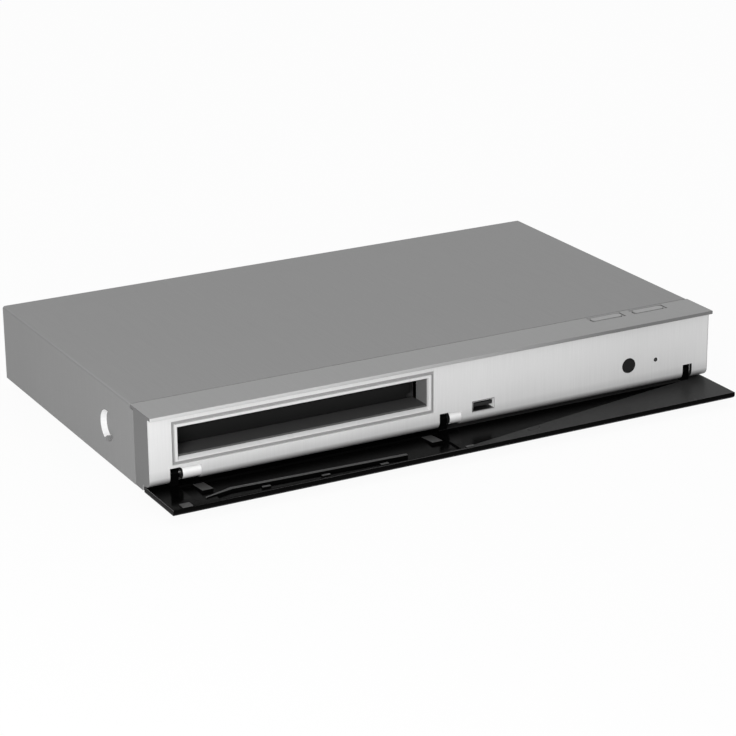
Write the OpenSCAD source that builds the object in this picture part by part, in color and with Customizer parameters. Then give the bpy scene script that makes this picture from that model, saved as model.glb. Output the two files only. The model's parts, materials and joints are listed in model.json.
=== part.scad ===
// Slim disc player with a drop-down front door and a motor-driven disc tray.
// X runs to the right, Y to the back and Z up. The origin is on the floor, under the centre of the box
// that holds the player with its door open. As drawn, the door is open and the tray is shut.

/* [Body] */
// Width over the cover
body_w = 320; // [314:1:350]
// Depth from the shut door's face to the cover's rear edge
body_d = 193; // [192:1:215]
// Height from the floor to the top of the cover
body_h = 45; // [44.5:0.5:52]
// Height of the rubber feet under the body
foot_h = 4.9; // [4.6:0.1:5.2]
// Diameter of a foot
foot_d = 18; // [12:0.5:22]
// Thickness of the steel sheets
sheet_t = 0.8; // [0.6:0.05:1]
// Outer radius of the cover's two long folds
fold_r = 1.4; // [1.1:0.1:2]
// Gap left between neighbouring pieces
fit_gap = 0.3; // [0.25:0.01:0.35]

/* [Front moulding] */
// Thickness of the lip over the door
lip_t = 1.8; // [1.6:0.1:2]
// Distance from the shut door's face back to the lip's front edge
lip_in = 0.5; // [0.3:0.1:1]
// Distance from the shut door's face back to the seam on the top
strip_d = 24; // [23.5:0.5:27]
// Distance from the shut door's face back to the seam on the sides
cheek_d = 20.4; // [20:0.2:22]
// Thickness of a cheek, which closes one side behind the fascia
cheek_t = 2.4; // [2:0.1:3]

/* [Fascia] */
// Distance from the shut door's face back to the fascia
fascia_in = 4; // [3.6:0.1:4.2]
// Wall of the fascia
fascia_t = 2.2; // [2:0.1:2.5]
// Width of a hinge notch
notch_w = 5.6; // [5.3:0.1:6]
// Height of a hinge notch above the hinge axis
notch_h = 4; // [3.7:0.1:4.4]
// Distance from the left side to the middle of the left hinge notch
notch_left_in = 13.7; // [13.4:0.1:15]
// Distance from the right side to the middle of the right hinge notch
notch_right_in = 12.7; // [12.4:0.1:14]
// Width of the left hinge boss, beside its notch
left_boss_w = 10.6; // [8:0.1:11]
// Width of the middle hinge boss
middle_boss_w = 6.8; // [6:0.1:7.5]

/* [Door] */
// Thickness of the door
door_t = 3; // [2.8:0.1:3.2]
// Distance from the hinge axis to the door's outer face
door_face_r = 8.5; // [8.3:0.1:8.8]
// Length of the door behind its hinge axis when it is open
door_tail = 3.5; // [3.2:0.1:3.8]
// Height of the open door's underside above the floor
door_floor_gap = 4; // [3.7:0.1:4.3]
// Thickness of the door's outer panel
door_panel_t = 1.2; // [1:0.1:1.4]
// Diameter of a hinge pin
hinge_pin_d = 2.4; // [2:0.1:2.6]
// Width of a hinge lug
lug_w = 4.6; // [4:0.1:4.8]

/* [Tray opening] */
// Distance from the cover's left side to the opening
mouth_side = 15.5; // [15:0.5:18]
// Width of the opening
mouth_w = 135.8; // [134.5:0.1:137]
// Height of the opening's lower edge above the floor
mouth_z = 22.2; // [21.8:0.1:22.5]
// Height of the opening
mouth_h = 14.4; // [14.1:0.1:14.8]
// Depth of the sill's slope under the opening
mouth_bevel_d = 1.7; // [1.5:0.1:2]

/* [Front sockets and lamps] */
// Width of the front data socket
usb_w = 12.8; // [12.5:0.1:13.2]
// Height of the front data socket
usb_h = 5.5; // [5.3:0.1:5.8]
// Distance from the tray opening to the socket's centre
usb_in = 31.6; // [30:0.1:36]
// Diameter of the receiver window
window_d = 8; // [7:0.1:9]
// Distance from the cover's right side to the receiver window
window_side = 49.7; // [46:0.1:60]
// Diameter of the lamp lens
lamp_d = 2.2; // [2:0.1:2.6]
// Distance from the cover's right side to the lamp lens
lamp_side = 33; // [28:0.5:36]

/* [Keys] */
// Length of a key
key_w = 18; // [17:0.5:19.5]
// Width of a key
key_d = 4.5; // [4.2:0.1:4.8]
// Spacing of the two keys
key_pitch = 26; // [25:0.5:28]
// Distance from the cover's right side to the right key
key_side = 19; // [18:0.5:21]
// Travel of a key
key_travel = 0.5; // [0.4:0.05:0.6]

/* [Tray] */
// Width of the tray's plate
tray_w = 129; // [127:0.5:129.5]
// Height of the tray's plate
tray_h = 4.5; // [4.4:0.1:4.6]
// Diameter of the large disc recess
disc_recess_d = 122; // [120.5:0.5:123]
// Diameter of the small disc recess
small_recess_d = 82; // [80.5:0.5:84]
// Width of the hub slot in the tray
hub_slot_w = 36; // [35.5:0.1:37]
// Distance from the shut door's face back to the disc's centre
disc_in = 85; // [84.8:0.1:85.4]
// Length of the tray in front of the disc's centre, with its front
tray_front_len = 67; // [66.5:0.1:67.5]
// Travel of the tray
tray_travel = 138; // [120:1:139]

/* [Loader] */
// Module of the rack and its pinion
rack_module = 1; // [0.98:0.01:1.02]
// Teeth of the pinion
pinion_teeth = 20; // [19:1:21]
// Module of the reduction gears
gear_module = 0.8; // [0.79:0.005:0.81]
// Teeth of the large reduction wheel
wheel_teeth = 45; // [44:1:46]
// Teeth of the pulley's gear
pulley_teeth = 18; // [17:1:19]
// Outer diameter of the belt pulley
pulley_d = 24; // [22:0.5:25]
// Outer diameter of the motor pulley
motor_pulley_d = 6; // [5.6:0.1:6.6]
// Diameter of the loading motor
loading_motor_d = 20; // [18:0.5:21]
// Diameter of the fixed gear posts
post_d = 3; // [2.6:0.1:3.4]

/* [Traverse and pickup] */
// Drop of the traverse's front when it lowers
traverse_drop = 7; // [6.6:0.1:7.2]
// Travel of the cam slider
cam_travel = 18; // [17:0.5:19]
// Diameter of the turntable
turntable_d = 28; // [27:0.5:29]
// Diameter of the turntable's hub
hub_d = 15; // [14.8:0.05:15.1]
// Diameter of the guide rods
rod_d = 3; // [2.8:0.1:3.2]
// Diameter of the lead screw
screw_d = 2.6; // [2.4:0.1:2.8]
// Travel of the pickup sled
sled_travel = 36; // [30:0.5:36.5]

/* [Boards] */
// Thickness of the circuit boards
board_t = 1.6; // [1.4:0.1:1.8]
// Height of the main boards above the bottom sheet
board_up = 5.2; // [5:0.1:6]
// Width of the power board
power_board_w = 56; // [54:1:58]

/* [Hidden] */
round_fn = 64;
small_fn = 32;
cut_over = 1; // how far a cut runs past a face

// Body frame
half_w = body_w / 2;
hinge_in = door_face_r;
lip_z = body_h - lip_t;
hinge_z = door_floor_gap + door_face_r;
door_reach = lip_z - fit_gap - hinge_z;
total_d = body_d + door_reach - hinge_in;
back_y = total_d / 2;
face_y = back_y - body_d;
hinge_y = face_y + hinge_in;
fascia_y = face_y + fascia_in;
fascia_back_y = fascia_y + fascia_t;
seam_y = face_y + strip_d;
side_seam_y = face_y + cheek_d;
bar_y = hinge_y + door_tail + fit_gap;
bar_h = hinge_z - door_face_r + fascia_in - foot_h;
fascia_tail_len = 2;
inner_x = half_w - sheet_t;
inner_top_z = body_h - sheet_t;
cover_y = seam_y + fit_gap;
cover_side_y = side_seam_y + fit_gap;

// Side dimples and screws' sizes
dimple_d = 16;
dimple_floor_d = 15;
dimple_depth = 3;
dimple_in = 54;
dimple_up = 19.1;
screw_shank_d = 3;
screw_head_d = 5.6;
screw_head_h = 1.2;
screw_len = 5;
dimple_y = face_y + dimple_in;
dimple_z = foot_h + dimple_up;

// Bottom chassis and rear panel
floor_z = foot_h + sheet_t;
chassis_x = inner_x - fit_gap;
chassis_front_y = bar_y + (cheek_d - hinge_in - door_tail - fit_gap) + fit_gap;
rear_edge_in = 0.8;
rear_y = back_y - rear_edge_in - sheet_t;
flange_h = 8;
rear_flange = 4;
tab_w = 14;
tab_d = 11.6;
vent_w = 3;
vent_len = 26;
vent_pitch = 7;
vent_count = 7;
foot_side_in = 25;
foot_front_in = 40;
foot_back_in = 23;
foot_hole_d = 4;
foot_head_up = 2;
foot_pts = [for (sx = [-1, 1], fy = [face_y + foot_front_in, back_y - foot_back_in])
    [sx * (half_w - foot_side_in), fy]];

// Front moulding
ledge_d = 3;
ledge_root = 1;
ledge_h = 1.4;
corner_r = 0.6;
cheek_skin_t = 0.4;

// Keys and their recess
recess_in = 16.5;
recess_d = 6.5;
recess_h = 0.6;
recess_side = 1.2;
key_gap = 0.3;
key_z = lip_z - key_gap;
key_flange = 0.8;
key_flange_h = 0.8;
key_stem_d = 3.4;
key_stem_h = 0.5;
key_y = face_y + recess_in + recess_d / 2;
key_x2 = half_w - key_side - key_w / 2;
key_x1 = key_x2 - key_pitch;
tact_w = 6;
tact_h = 2.6;
tact_top_d = 3.4;
tact_top_h = 0.6;
tact_z = key_z - key_flange_h - key_stem_h - key_travel - fit_gap / 3 - tact_h - tact_top_h;
key_board_margin = 8;
key_board_d = 8;
key_board_t = 1.2;
key_board_z = tact_z - key_board_t;
key_board_x1 = key_x1 - key_w / 2 - key_board_margin;
key_board_x2 = key_x2 + key_w / 2 + key_board_margin;
key_post_d = 4;

// Fascia, notches and hinge bosses
barrel_r = hinge_in - fascia_in;
fascia_x = half_w - cheek_skin_t;
fascia_tail_y = bar_y + fascia_tail_len;
notch_z = hinge_z + notch_h;
notch_xs = [notch_left_in - half_w, (notch_left_in - notch_right_in) / 2, half_w - notch_right_in];
boss_ws = [left_boss_w, middle_boss_w];
boss_gaps = [0.8, 0];
boss_proud = 0.3;
boss_r = 3.2;
boss_up = 3.45;
boss_z = hinge_z + boss_up;
boss_y = hinge_y - barrel_r - boss_proud + boss_r;
pin_left = 3.4;
pin_right = 5.4;

// Door
door_side_gap = 0.5;
door_rear_y = hinge_y + door_tail;
door_front_y = hinge_y - door_reach;
door_x = half_w - door_side_gap;
door_top_z = door_floor_gap + door_t;
panel_top_z = door_floor_gap + door_panel_t;
door_edge_r = 1;
eye_r = 2.4;
pin_clearance = 0.05;
pocket_depth = 0.8;
pocket_front_in = 28.5;
wedge_w = 5.7;
wedge_h = 1.5;
wedge_low_h = 0.6;
wedge_front_in = 16;
wedge_rear_in = 5;
left_wedge_in = 7.2;
right_wedge_in = 3.2;
rib_w = 2.2;
rib_h = 1.4;
rib_left_in = 20.5;
rib_left_front_in = 19.7;
rib_right_in = 27.3;
rib_right_front_in = 23.2;
thin_rib_w = 0.9;
step_w = 10.7;
step_in = 23.6;
small_tab_w = 4.4;
small_tab_d = 1.6;
small_tab_h = 1.2;
small_tab_in = 26;
small_tab_slant = 1.3;
small_tab_first = 34;
small_tab_pitch = 31.2;
panel_tab_in = 28.2;
panel_tab_x = 1.1;
panel_tab_h = 0.4;
striker_w = 5.2;
striker_d = 4.4;
striker_h = 0.6;
striker_side = 5.6;
striker_front_in = 27.7;
pocket_over = 0.7;
pocket_right_gap = 2;
pocket_x1 = -half_w + mouth_side - pocket_over;
pocket_x2 = notch_xs[1] - notch_w / 2 - pocket_right_gap;

// Frame of the tray opening
mouth_x1 = -half_w + mouth_side;
mouth_x2 = mouth_x1 + mouth_w;
mouth_z2 = mouth_z + mouth_h;
border_side = 3.2;
border_low = 4.2;
border_top = 3.4;
groove_w = 1.6;
groove_d = 1;
rim_w = 0.4;
rim_d = 0.8;
sill_h = 1.25;
sill_drop = 0.8;
tunnel_t = 1.2;
tunnel_in = 17;
tunnel_lip = 2.8;
frame_x1 = mouth_x1 - border_side;
frame_x2 = mouth_x2 + border_side;
frame_z1 = mouth_z - border_low;
frame_z2 = mouth_z2 + border_top;

// Front sockets, window, lamp and boards
usb_side = 1;
usb_x = max(mouth_x2 + usb_in, notch_xs[1] + notch_w / 2 + middle_boss_w + usb_side + usb_w / 2);
usb_z = 16.95;
usb_shell_t = 0.35;
usb_tongue_w = 10.6;
usb_tongue_h = 1.9;
usb_tongue_up = 0.5;
usb_proud = 0.1;
usb_fit = 0.1;
window_x = half_w - window_side;
window_z = 22.3;
window_dome = 0.1;
lamp_x = half_w - lamp_side;
lamp_z = 22.7;
lamp_len = 4.4;
lens_flange = 1;
lens_flange_t = 1;
front_board_in = 18;
front_board_y = face_y + front_board_in;
front_board_z1 = 12;
front_board_h = 22;
front_board_side = 8;
front_post_d = 5;
front_post_side = 5;
receiver_w = 6;
receiver_h = 7;
receiver_d = 4;

// Loader frame: u runs to the right from the opening's middle, v to the back from the disc's centre
loader_x = (mouth_x1 + mouth_x2) / 2;
disc_y = face_y + disc_in;
deck_up = 4.8;
deck_z = mouth_z + deck_up;
tray_top_z = deck_z + tray_h;
disc_recess_h = 2.2;
small_recess_h = 1.1;
tray_front_t = 3;
tray_front_low_gap = 0.6;
tray_front_top_gap = 0.6;
tray_front_side_gap = 2.5;
tray_notch = 2.4;
rail_w = 1.5;
rail_h = 2;
tray_front_w = mouth_w - 2 * tray_front_side_gap;
tray_front_z = mouth_z + tray_front_low_gap;
tray_front_h = mouth_h - tray_front_low_gap - tray_front_top_gap;
tray_rear_gap = 10.4;
tray_back_len = rear_y - disc_y - tray_rear_gap;

// Rack and reduction gears
pinion_r = rack_module * pinion_teeth / 2;
wheel_r = gear_module * wheel_teeth / 2;
pulley_gear_r = gear_module * pulley_teeth / 2;
pressure_angle = 20;
addendum_share = 0.95;
dedendum_share = 1.25;
backlash = 0.3;
flank_steps = 4;
rack_h = 3;
rack_back_w = 3.75;
rack_side_in = 3.9;
rack_u = tray_w / 2 - rack_side_in - rack_back_w - dedendum_share * rack_module;
rack_front_len = 54;
rack_pitch = PI * rack_module;
pinion_u = rack_u - pinion_r;
pinion_v = -46;
pinion_top_gap = 0.4;
wheel_drop = 2.7;
wheel_z = mouth_z - wheel_drop;
wheel_h = 2.5;
pinion_z = wheel_z + wheel_h;
pinion_h = deck_z - pinion_top_gap - pinion_z;
gear_distance = wheel_r + pulley_gear_r;
pulley_du = 24;
pulley_u = pinion_u - pulley_du;
pulley_v = pinion_v - sqrt(gear_distance * gear_distance - pulley_du * pulley_du);
pulley_h = 3;
pulley_gap = 1;
pulley_z = wheel_z - pulley_gap - pulley_h;
pulley_flange = 0.9;
pulley_flange_t = 0.6;
belt_t = 1.4;
belt_clear = 0.1;
belt_steps = 30;
motor_u = -8.4;
motor_v = -50;
motor_z = 6.5;
motor_h = 7;
motor_flange_w = 2.5;
motor_flange_t = 1;
motor_shaft_d = 1.5;
shoulder_d = 6;
mesh_angle = atan2(pulley_v - pinion_v, pulley_u - pinion_u);

// Loader chassis
loader_floor_z = 8.5;
loader_floor_t = 2;
loader_top_z = loader_floor_z + loader_floor_t;
wall_t = 4;
wall_u = tray_w / 2 + fit_gap;
wall_front_len = 63.5;
floor_front_len = 67;
loader_back_len = 98;
bridge_up = 15.8;
bridge_z = mouth_z + bridge_up;
bridge_t = 1.2;
bridge_len = 34;
bridge_hole_d = 29;
ear_w = 8;
ear_len = 12;
ear_hole_d = 3.4;
ear_front_v = -55;
ear_back_v = 88;
damper_d = 7;
ear_u = wall_u + wall_t + ear_w / 2;
ear_pts = [for (su = [-1, 1], v = [ear_front_v, ear_back_v]) [su * ear_u, v]];

// Clamper
clamper_flange_d = 34;
clamper_neck_d = 27;
clamper_gap = 0.4;
clamper_flange_t = 1.4;
clamper_floor_t = 2.7;
clamper_hole_d = hub_d + 1;
magnet_d = 22;
magnet_h = 2.5;
magnet_hole_d = 8;

// Traverse, turntable and pickup
plate_up = -2.7;
plate_t = 2;
plate_z = mouth_z + plate_up;
plate_top_z = plate_z + plate_t;
plate_hw = 36;
plate_front_len = 25;
pivot_v = 80;
pivot_drop = 1.5;
pivot_z = plate_z - pivot_drop;
pivot_d = 4;
pivot_clear = 0.05;
lug_t = 4;
opening_gap = 0.6;
rib_t = 2;
rib_low = 3.5;
cam_v = -30;
cam_t = 2;
cam_pin_d = 3;
cam_pin_clear = 0.4;
cam_pin_over = 1.6;
cam_pin_u = -2;
cam_wall = 5;
cam_pin_z = plate_z + plate_t / 2;
cam_low_z = loader_top_z + fit_gap;
cam_guide_h = 3;
cam_guide_w = 8;
lever_len = pivot_v - cam_v;
traverse_tilt = asin(traverse_drop / lever_len);
disc_up = 8.8;
disc_z = mouth_z + disc_up;
turntable_t = 2.2;
rotor_d = 24;
rotor_wall = 2;
rotor_up = 2.1;
stator_d = 19;
stator_h = 5;
spindle_base_d = 26;
spindle_base_t = 1.5;
spindle_shaft_d = 2;
hub_h = 2.5;
hub_taper = 1.2;
rod_drop = 2.5;
rod_z = plate_z - rod_drop;
rod_u = 23.5;
rod_front_v = 8;
rod_back_v = 79;
rod_block = 2;
screw_u = -29.4;
nut_clear = 0.1;
sled_hw = 17;
sled_len = 26;
sled_h = 8.5;
sled_drop = 4.5;
sled_z = plate_z - sled_drop;
lens_r = 22;
lens_in = 8;
lens_d = 6;
lens_t = 1.3;
actuator_hw = 9;
actuator_len = 16;
actuator_h = 4.5;
window_hw = 20;
window_front_v = 12.4;
window_back_v = 77.4;
arm_len = 6;
arm_wall = 1;
stepper_d = 8;
stepper_len = 11;
stepper_v = -19;
sled_front_v = lens_r - lens_in;

// Boards and rear sockets
board_z = floor_z + board_up;
board_top_z = board_z + board_t;
board_gap = 5;
board_side = 7;
board_back_gap = 4;
main_in = 45.4;
power_len = 130;
power_x2 = inner_x - board_side;
power_x1 = power_x2 - power_board_w;
main_x1 = loader_x + ear_u + ear_w / 2 + board_gap;
main_x2 = power_x1 - board_gap;
board_y2 = rear_y - board_back_gap;
post_in = 4;
board_post_d = 6;
board_hole_d = 3.2;
hdmi_w = 15;
hdmi_h = 5.6;
hdmi_d = 12;
hdmi_wall = 0.5;
hdmi_in = 16;
lan_w = 16;
lan_h = 13.4;
lan_d = 18;
lan_port_w = 11.8;
lan_port_h = 8;
lan_port_d = 12;
lan_in = 42;
optical_w = 10;
optical_h = 10;
optical_d = 14;
optical_port = 6.6;
optical_port_d = 9;
optical_in = 66;
shutter_t = 0.6;
shutter_pin_d = 0.8;
inlet_w = 22;
inlet_h = 16;
inlet_d = 18;
inlet_port_w = 14.6;
inlet_port_h = 7.4;
inlet_port_d = 14;
inlet_in = 18;
inlet_pin_d = 2.4;
inlet_pin_pitch = 8.6;
inlet_pin_len = 10;
chip_w = 22;
chip_t = 1.4;
heatsink_w = 34;
heatsink_base = 2.4;
heatsink_h = 12;
heatsink_fins = 7;
heatsink_fin_t = 1.4;
chip_in_x = 43;
chip_in_y = 60;
transformer_w = 30;
transformer_d = 24;
transformer_h = 20;
transformer_in_y = 62;
cap_d = 14;
cap_h = 22;
cap_pitch = 18;
cap_in_y = 30;
ribbon_w = 18;
ribbon_t = 0.4;
ribbon_in = 56.8;
ribbon_socket_h = 3;
ribbon_socket_d = 4;

// Places worked out from several pieces
rear_screw_up = 30;
usb_back_t = 1.2;
usb_tongue_in = 0.8;
pin_block_h = 3;
pocket_rear_gap = 4.5;
screw_back_v = 76.3;
rod_over = 0.6;
shutter_in = 1.4;
shutter_len_gap = 0.9;
vent_x = power_x1 + vent_pitch;
vent_row_y = face_y + foot_front_in + foot_d;
main_y1 = front_board_y + main_in;
power_y1 = board_y2 - power_len;
board_posts = concat(
    [for (x = [main_x1 + post_in, main_x2 - post_in], y = [main_y1 + post_in, board_y2 - post_in]) [x, y]],
    [for (x = [power_x1 + post_in, power_x2 - post_in], y = [power_y1 + post_in, board_y2 - post_in]) [x, y]]);
hdmi_x = main_x1 + hdmi_in - fit_gap / 2;
lan_x = main_x1 + lan_in - fit_gap / 2;
optical_x = main_x1 + optical_in - fit_gap / 2;
inlet_x = power_x1 + inlet_in - fit_gap / 2;
rear_screw_z = floor_z + rear_screw_up;
rear_screw_xs = [for (k = [-1, 0, 1]) k * (half_w - foot_side_in)];
key_post_xs = [key_board_x1 + key_post_d / 2, key_board_x2 - key_post_d / 2];
pin_block_xs = concat([for (x = notch_xs) x - notch_w / 2], [notch_xs[2] + notch_w / 2 + pin_right]);
pin_block_ws = [pin_left, pin_left, pin_left, pin_right];
front_board_x1 = frame_x2 + front_board_side;
front_board_x2 = half_w - front_board_side;
front_board_z2 = front_board_z1 + front_board_h;
front_posts = [for (x = [front_board_x1 + front_post_side, front_board_x2 - front_post_side],
    z = [boss_z + fit_gap + front_post_d / 2, front_board_z2 - front_post_d]) [x, z]];
ribbon_x = main_x1 + ribbon_in;
ribbon_z = front_board_z1 + front_board_h / 2;
pocket_z = door_top_z - pocket_depth;
wedge_y1 = hinge_y - wedge_front_in;
wedge_y2 = hinge_y - wedge_rear_in;
rib_x1 = pocket_x1 + rib_left_in;
rib_x2 = pocket_x2 - rib_right_in;
rib_y1 = hinge_y - rib_left_front_in - rib_w / 2;
rib_y2 = hinge_y - rib_right_front_in - rib_w / 2;
step_y = hinge_y - step_in;
small_tab_y = hinge_y - small_tab_in;
cam_rest_u1 = cam_pin_u - cam_travel - cam_pin_d / 2 - cam_pin_clear - cam_wall;
cam_rest_u2 = cam_pin_u + cam_pin_d / 2 + cam_pin_clear + cam_wall;
screw_front_v = stepper_v + stepper_len;
rotor_top_z = plate_top_z + spindle_base_t + stator_h + fit_gap;

// Shared shapes

// Box between two opposite corners
module span(a, b) {
    translate(a) cube(b - a);
}

// Profile in Y and Z, drawn out along X
module along_x(x1, x2) {
    translate([x1, 0, 0]) rotate([90, 0, 90]) linear_extrude(x2 - x1) children();
}

// Profile in X and Z, drawn out along Y
module along_y(y1, y2) {
    translate([0, y2, 0]) rotate([90, 0, 0]) linear_extrude(y2 - y1) children();
}

// Profile in X and Y, drawn out along Z
module along_z(z1, z2) {
    translate([0, 0, z1]) linear_extrude(z2 - z1) children();
}

// Round rods along each axis
module rod_x(x1, x2, y, z, d, fn = small_fn) {
    translate([x1, y, z]) rotate([0, 90, 0]) cylinder(d = d, h = x2 - x1, $fn = fn);
}

module rod_y(y1, y2, x, z, d, fn = small_fn) {
    translate([x, y2, z]) rotate([90, 0, 0]) cylinder(d = d, h = y2 - y1, $fn = fn);
}

module rod_z(z1, z2, x, y, d, fn = small_fn) {
    translate([x, y, z1]) cylinder(d = d, h = z2 - z1, $fn = fn);
}

// Flat bar with half-round ends
module slot_shape(x1, x2, y, d) {
    translate([x1 + d / 2, y - d / 2]) square([x2 - x1 - d, d]);
    for (x = [x1 + d / 2, x2 - d / 2]) translate([x, y]) circle(d = d, $fn = small_fn);
}

// Pan-head screw pointing along +Z from the underside of its head
module screw(len) {
    cylinder(d = screw_shank_d, h = len, $fn = small_fn);
    translate([0, 0, -screw_head_h]) cylinder(d = screw_head_d, h = screw_head_h, $fn = small_fn);
}

// Puts children in the loader's frame
module in_loader() {
    translate([loader_x, disc_y, 0]) children();
}

// Covers and chassis

module cover_outline(x, z1, z2, r) {
    square_pts = [[-x, z1], [x, z1], [x, z2 - r], [-x, z2 - r]];
    polygon(square_pts);
    translate([-x + r, z1]) square([2 * (x - r), z2 - z1]);
    for (s = [-1, 1]) translate([s * (x - r), z2 - r]) circle(r = r, $fn = round_fn);
}

module side_dimple(side) {
    translate([side * half_w, dimple_y, dimple_z]) rotate([0, -side * 90, 0]) children();
}

module top_cover() {
    inner_r = fold_r - sheet_t;
    color("#8c8d8f") difference() {
        union() {
            difference() {
                along_y(cover_side_y, back_y) cover_outline(half_w, foot_h, body_h, fold_r);
                along_y(cover_side_y - cut_over, back_y + cut_over)
                    cover_outline(inner_x, foot_h - cut_over, inner_top_z, inner_r);
                span([-half_w - cut_over, cover_side_y - cut_over, lip_z - fit_gap],
                     [half_w + cut_over, cover_y, body_h + cut_over]);
            }
            for (side = [-1, 1]) side_dimple(side)
                cylinder(d = dimple_floor_d + 2 * sheet_t, h = dimple_depth + sheet_t, $fn = round_fn);
        }
        for (side = [-1, 1]) side_dimple(side)
            cylinder(d1 = dimple_d, d2 = dimple_floor_d, h = dimple_depth, $fn = round_fn);
    }
}

module bottom_chassis() {
    tab_x = half_w - dimple_depth - sheet_t;
    color("#a9abad") difference() {
        union() {
            span([-chassis_x, chassis_front_y, foot_h], [chassis_x, rear_y, floor_z]);
            for (s = [-1, 1]) {
                flange_a = s * chassis_x;
                flange_b = s * (chassis_x - sheet_t);
                span([min(flange_a, flange_b), chassis_front_y, foot_h],
                     [max(flange_a, flange_b), rear_y, foot_h + flange_h]);
                tab_b = s * tab_x;
                tab_a = s * (tab_x - 2 * sheet_t);
                span([min(tab_a, tab_b), dimple_y - tab_w / 2, foot_h],
                     [max(tab_a, tab_b), dimple_y + tab_w / 2, dimple_z + tab_d / 2]);
            }
            for (p = board_posts) rod_z(foot_h, board_z, p.x, p.y, board_post_d);
        }
        for (p = ear_pts) rod_z(foot_h - cut_over, floor_z + cut_over, loader_x + p.x, disc_y + p.y, screw_shank_d);
        for (p = foot_pts) rod_z(foot_h - cut_over, floor_z + cut_over, p.x, p.y, foot_hole_d);
        for (p = board_posts) rod_z(floor_z, board_z + cut_over, p.x, p.y, screw_shank_d);
        for (k = [0 : vent_count - 1], y = [vent_row_y, vent_row_y + vent_len + vent_pitch])
            along_z(foot_h - cut_over, floor_z + cut_over)
                translate([vent_x + k * vent_pitch, y]) rotate(90)
                    slot_shape(0, vent_len, 0, vent_w);
    }
}

module rear_socket_cuts(d1, d2) {
    span([hdmi_x, d1, board_top_z - fit_gap], [hdmi_x + hdmi_w + fit_gap, d2, board_top_z + hdmi_h + fit_gap]);
    span([lan_x, d1, board_top_z - fit_gap], [lan_x + lan_w + fit_gap, d2, board_top_z + lan_h + fit_gap]);
    span([optical_x, d1, board_top_z - fit_gap],
         [optical_x + optical_w + fit_gap, d2, board_top_z + optical_h + fit_gap]);
    span([inlet_x, d1, board_top_z - fit_gap], [inlet_x + inlet_w + fit_gap, d2, board_top_z + inlet_h + fit_gap]);
}

module rear_panel() {
    color("#8a8c8e") difference() {
        union() {
            span([-chassis_x, rear_y, floor_z], [chassis_x, rear_y + sheet_t, inner_top_z - fold_r]);
            span([-chassis_x + fold_r, rear_y, floor_z], [chassis_x - fold_r, rear_y + sheet_t, inner_top_z]);
            span([-chassis_x + fold_r, rear_y - rear_flange, inner_top_z - sheet_t],
                 [chassis_x - fold_r, rear_y, inner_top_z]);
            span([-chassis_x + fold_r, rear_y - rear_flange, floor_z],
                 [chassis_x - fold_r, rear_y, floor_z + sheet_t]);
        }
        rear_socket_cuts(rear_y - cut_over, rear_y + sheet_t + cut_over);
        for (x = rear_screw_xs) rod_y(rear_y - cut_over, rear_y + sheet_t + cut_over, x, rear_screw_z,
            screw_shank_d);
    }
}

module rubber_feet() {
    color("#202020") for (p = foot_pts) {
        rod_z(0, foot_h, p.x, p.y, foot_d, round_fn);
        rod_z(foot_h, floor_z, p.x, p.y, foot_hole_d);
        rod_z(floor_z, floor_z + foot_head_up / 2, p.x, p.y, foot_hole_d + foot_head_up);
    }
}

module rear_screws() {
    color("#55575a") for (x = rear_screw_xs)
        translate([x, rear_y + sheet_t, rear_screw_z]) rotate([90, 0, 0]) {
            cylinder(d = screw_shank_d, h = screw_len, $fn = small_fn);
            translate([0, 0, -rear_edge_in]) cylinder(d = screw_head_d, h = rear_edge_in, $fn = small_fn);
        }
}

module chassis_screws() {
    color("#b9babc") {
        for (p = board_posts) translate([p.x, p.y, board_top_z]) rotate([180, 0, 0]) screw(screw_len);
        for (p = ear_pts) translate([loader_x + p.x, disc_y + p.y, loader_top_z]) rotate([180, 0, 0])
            screw(loader_top_z - foot_h);
    }
}

// Front moulding, fascia and what they hold

module cheek_outline() {
    polygon([[fascia_y, lip_z], [fascia_y, hinge_z], [hinge_y, hinge_z], [hinge_y, hinge_z - barrel_r],
             [bar_y, hinge_z - barrel_r], [bar_y, foot_h], [side_seam_y, foot_h], [side_seam_y, lip_z]]);
    intersection() {
        translate([hinge_y, hinge_z]) circle(r = barrel_r, $fn = round_fn);
        translate([fascia_y, hinge_z - barrel_r]) square(barrel_r);
    }
}

module front_moulding() {
    lip_y = face_y + lip_in;
    recess_y = face_y + recess_in;
    color("#9a9b9c") difference() {
        union() {
            along_z(lip_z, body_h) difference() {
                union() {
                    translate([-half_w, lip_y + corner_r]) square([body_w, seam_y - lip_y - corner_r]);
                    translate([-half_w + corner_r, lip_y]) square([body_w - 2 * corner_r, corner_r]);
                    for (s = [-1, 1]) translate([s * (half_w - corner_r), lip_y + corner_r])
                        circle(r = corner_r, $fn = round_fn);
                }
            }
            span([-chassis_x + fold_r, seam_y - ledge_root, inner_top_z - ledge_h],
                 [chassis_x - fold_r, seam_y + ledge_d, inner_top_z]);
            for (s = [-1, 1]) {
                along_x(min(s * half_w, s * (half_w - cheek_skin_t)), max(s * half_w, s * (half_w - cheek_skin_t)))
                    cheek_outline();
                inner_a = s * (half_w - cheek_skin_t);
                inner_b = s * (half_w - cheek_t);
                span([min(inner_a, inner_b), fascia_tail_y, foot_h], [max(inner_a, inner_b), side_seam_y, lip_z]);
            }
            span([-half_w + cheek_skin_t, bar_y, foot_h], [half_w - cheek_skin_t, side_seam_y, foot_h + bar_h]);
            for (x = key_post_xs) rod_z(key_board_z + key_board_t, lip_z, x, key_y, key_post_d);
        }
        for (x = [key_x1, key_x2]) {
            span([x - key_w / 2 - recess_side, recess_y, body_h - recess_h],
                 [x + key_w / 2 + recess_side, recess_y + recess_d, body_h + cut_over]);
            along_z(lip_z - cut_over, body_h)
                slot_shape(x - key_w / 2 - key_gap, x + key_w / 2 + key_gap, key_y, key_d + 2 * key_gap);
        }
    }
}

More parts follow.
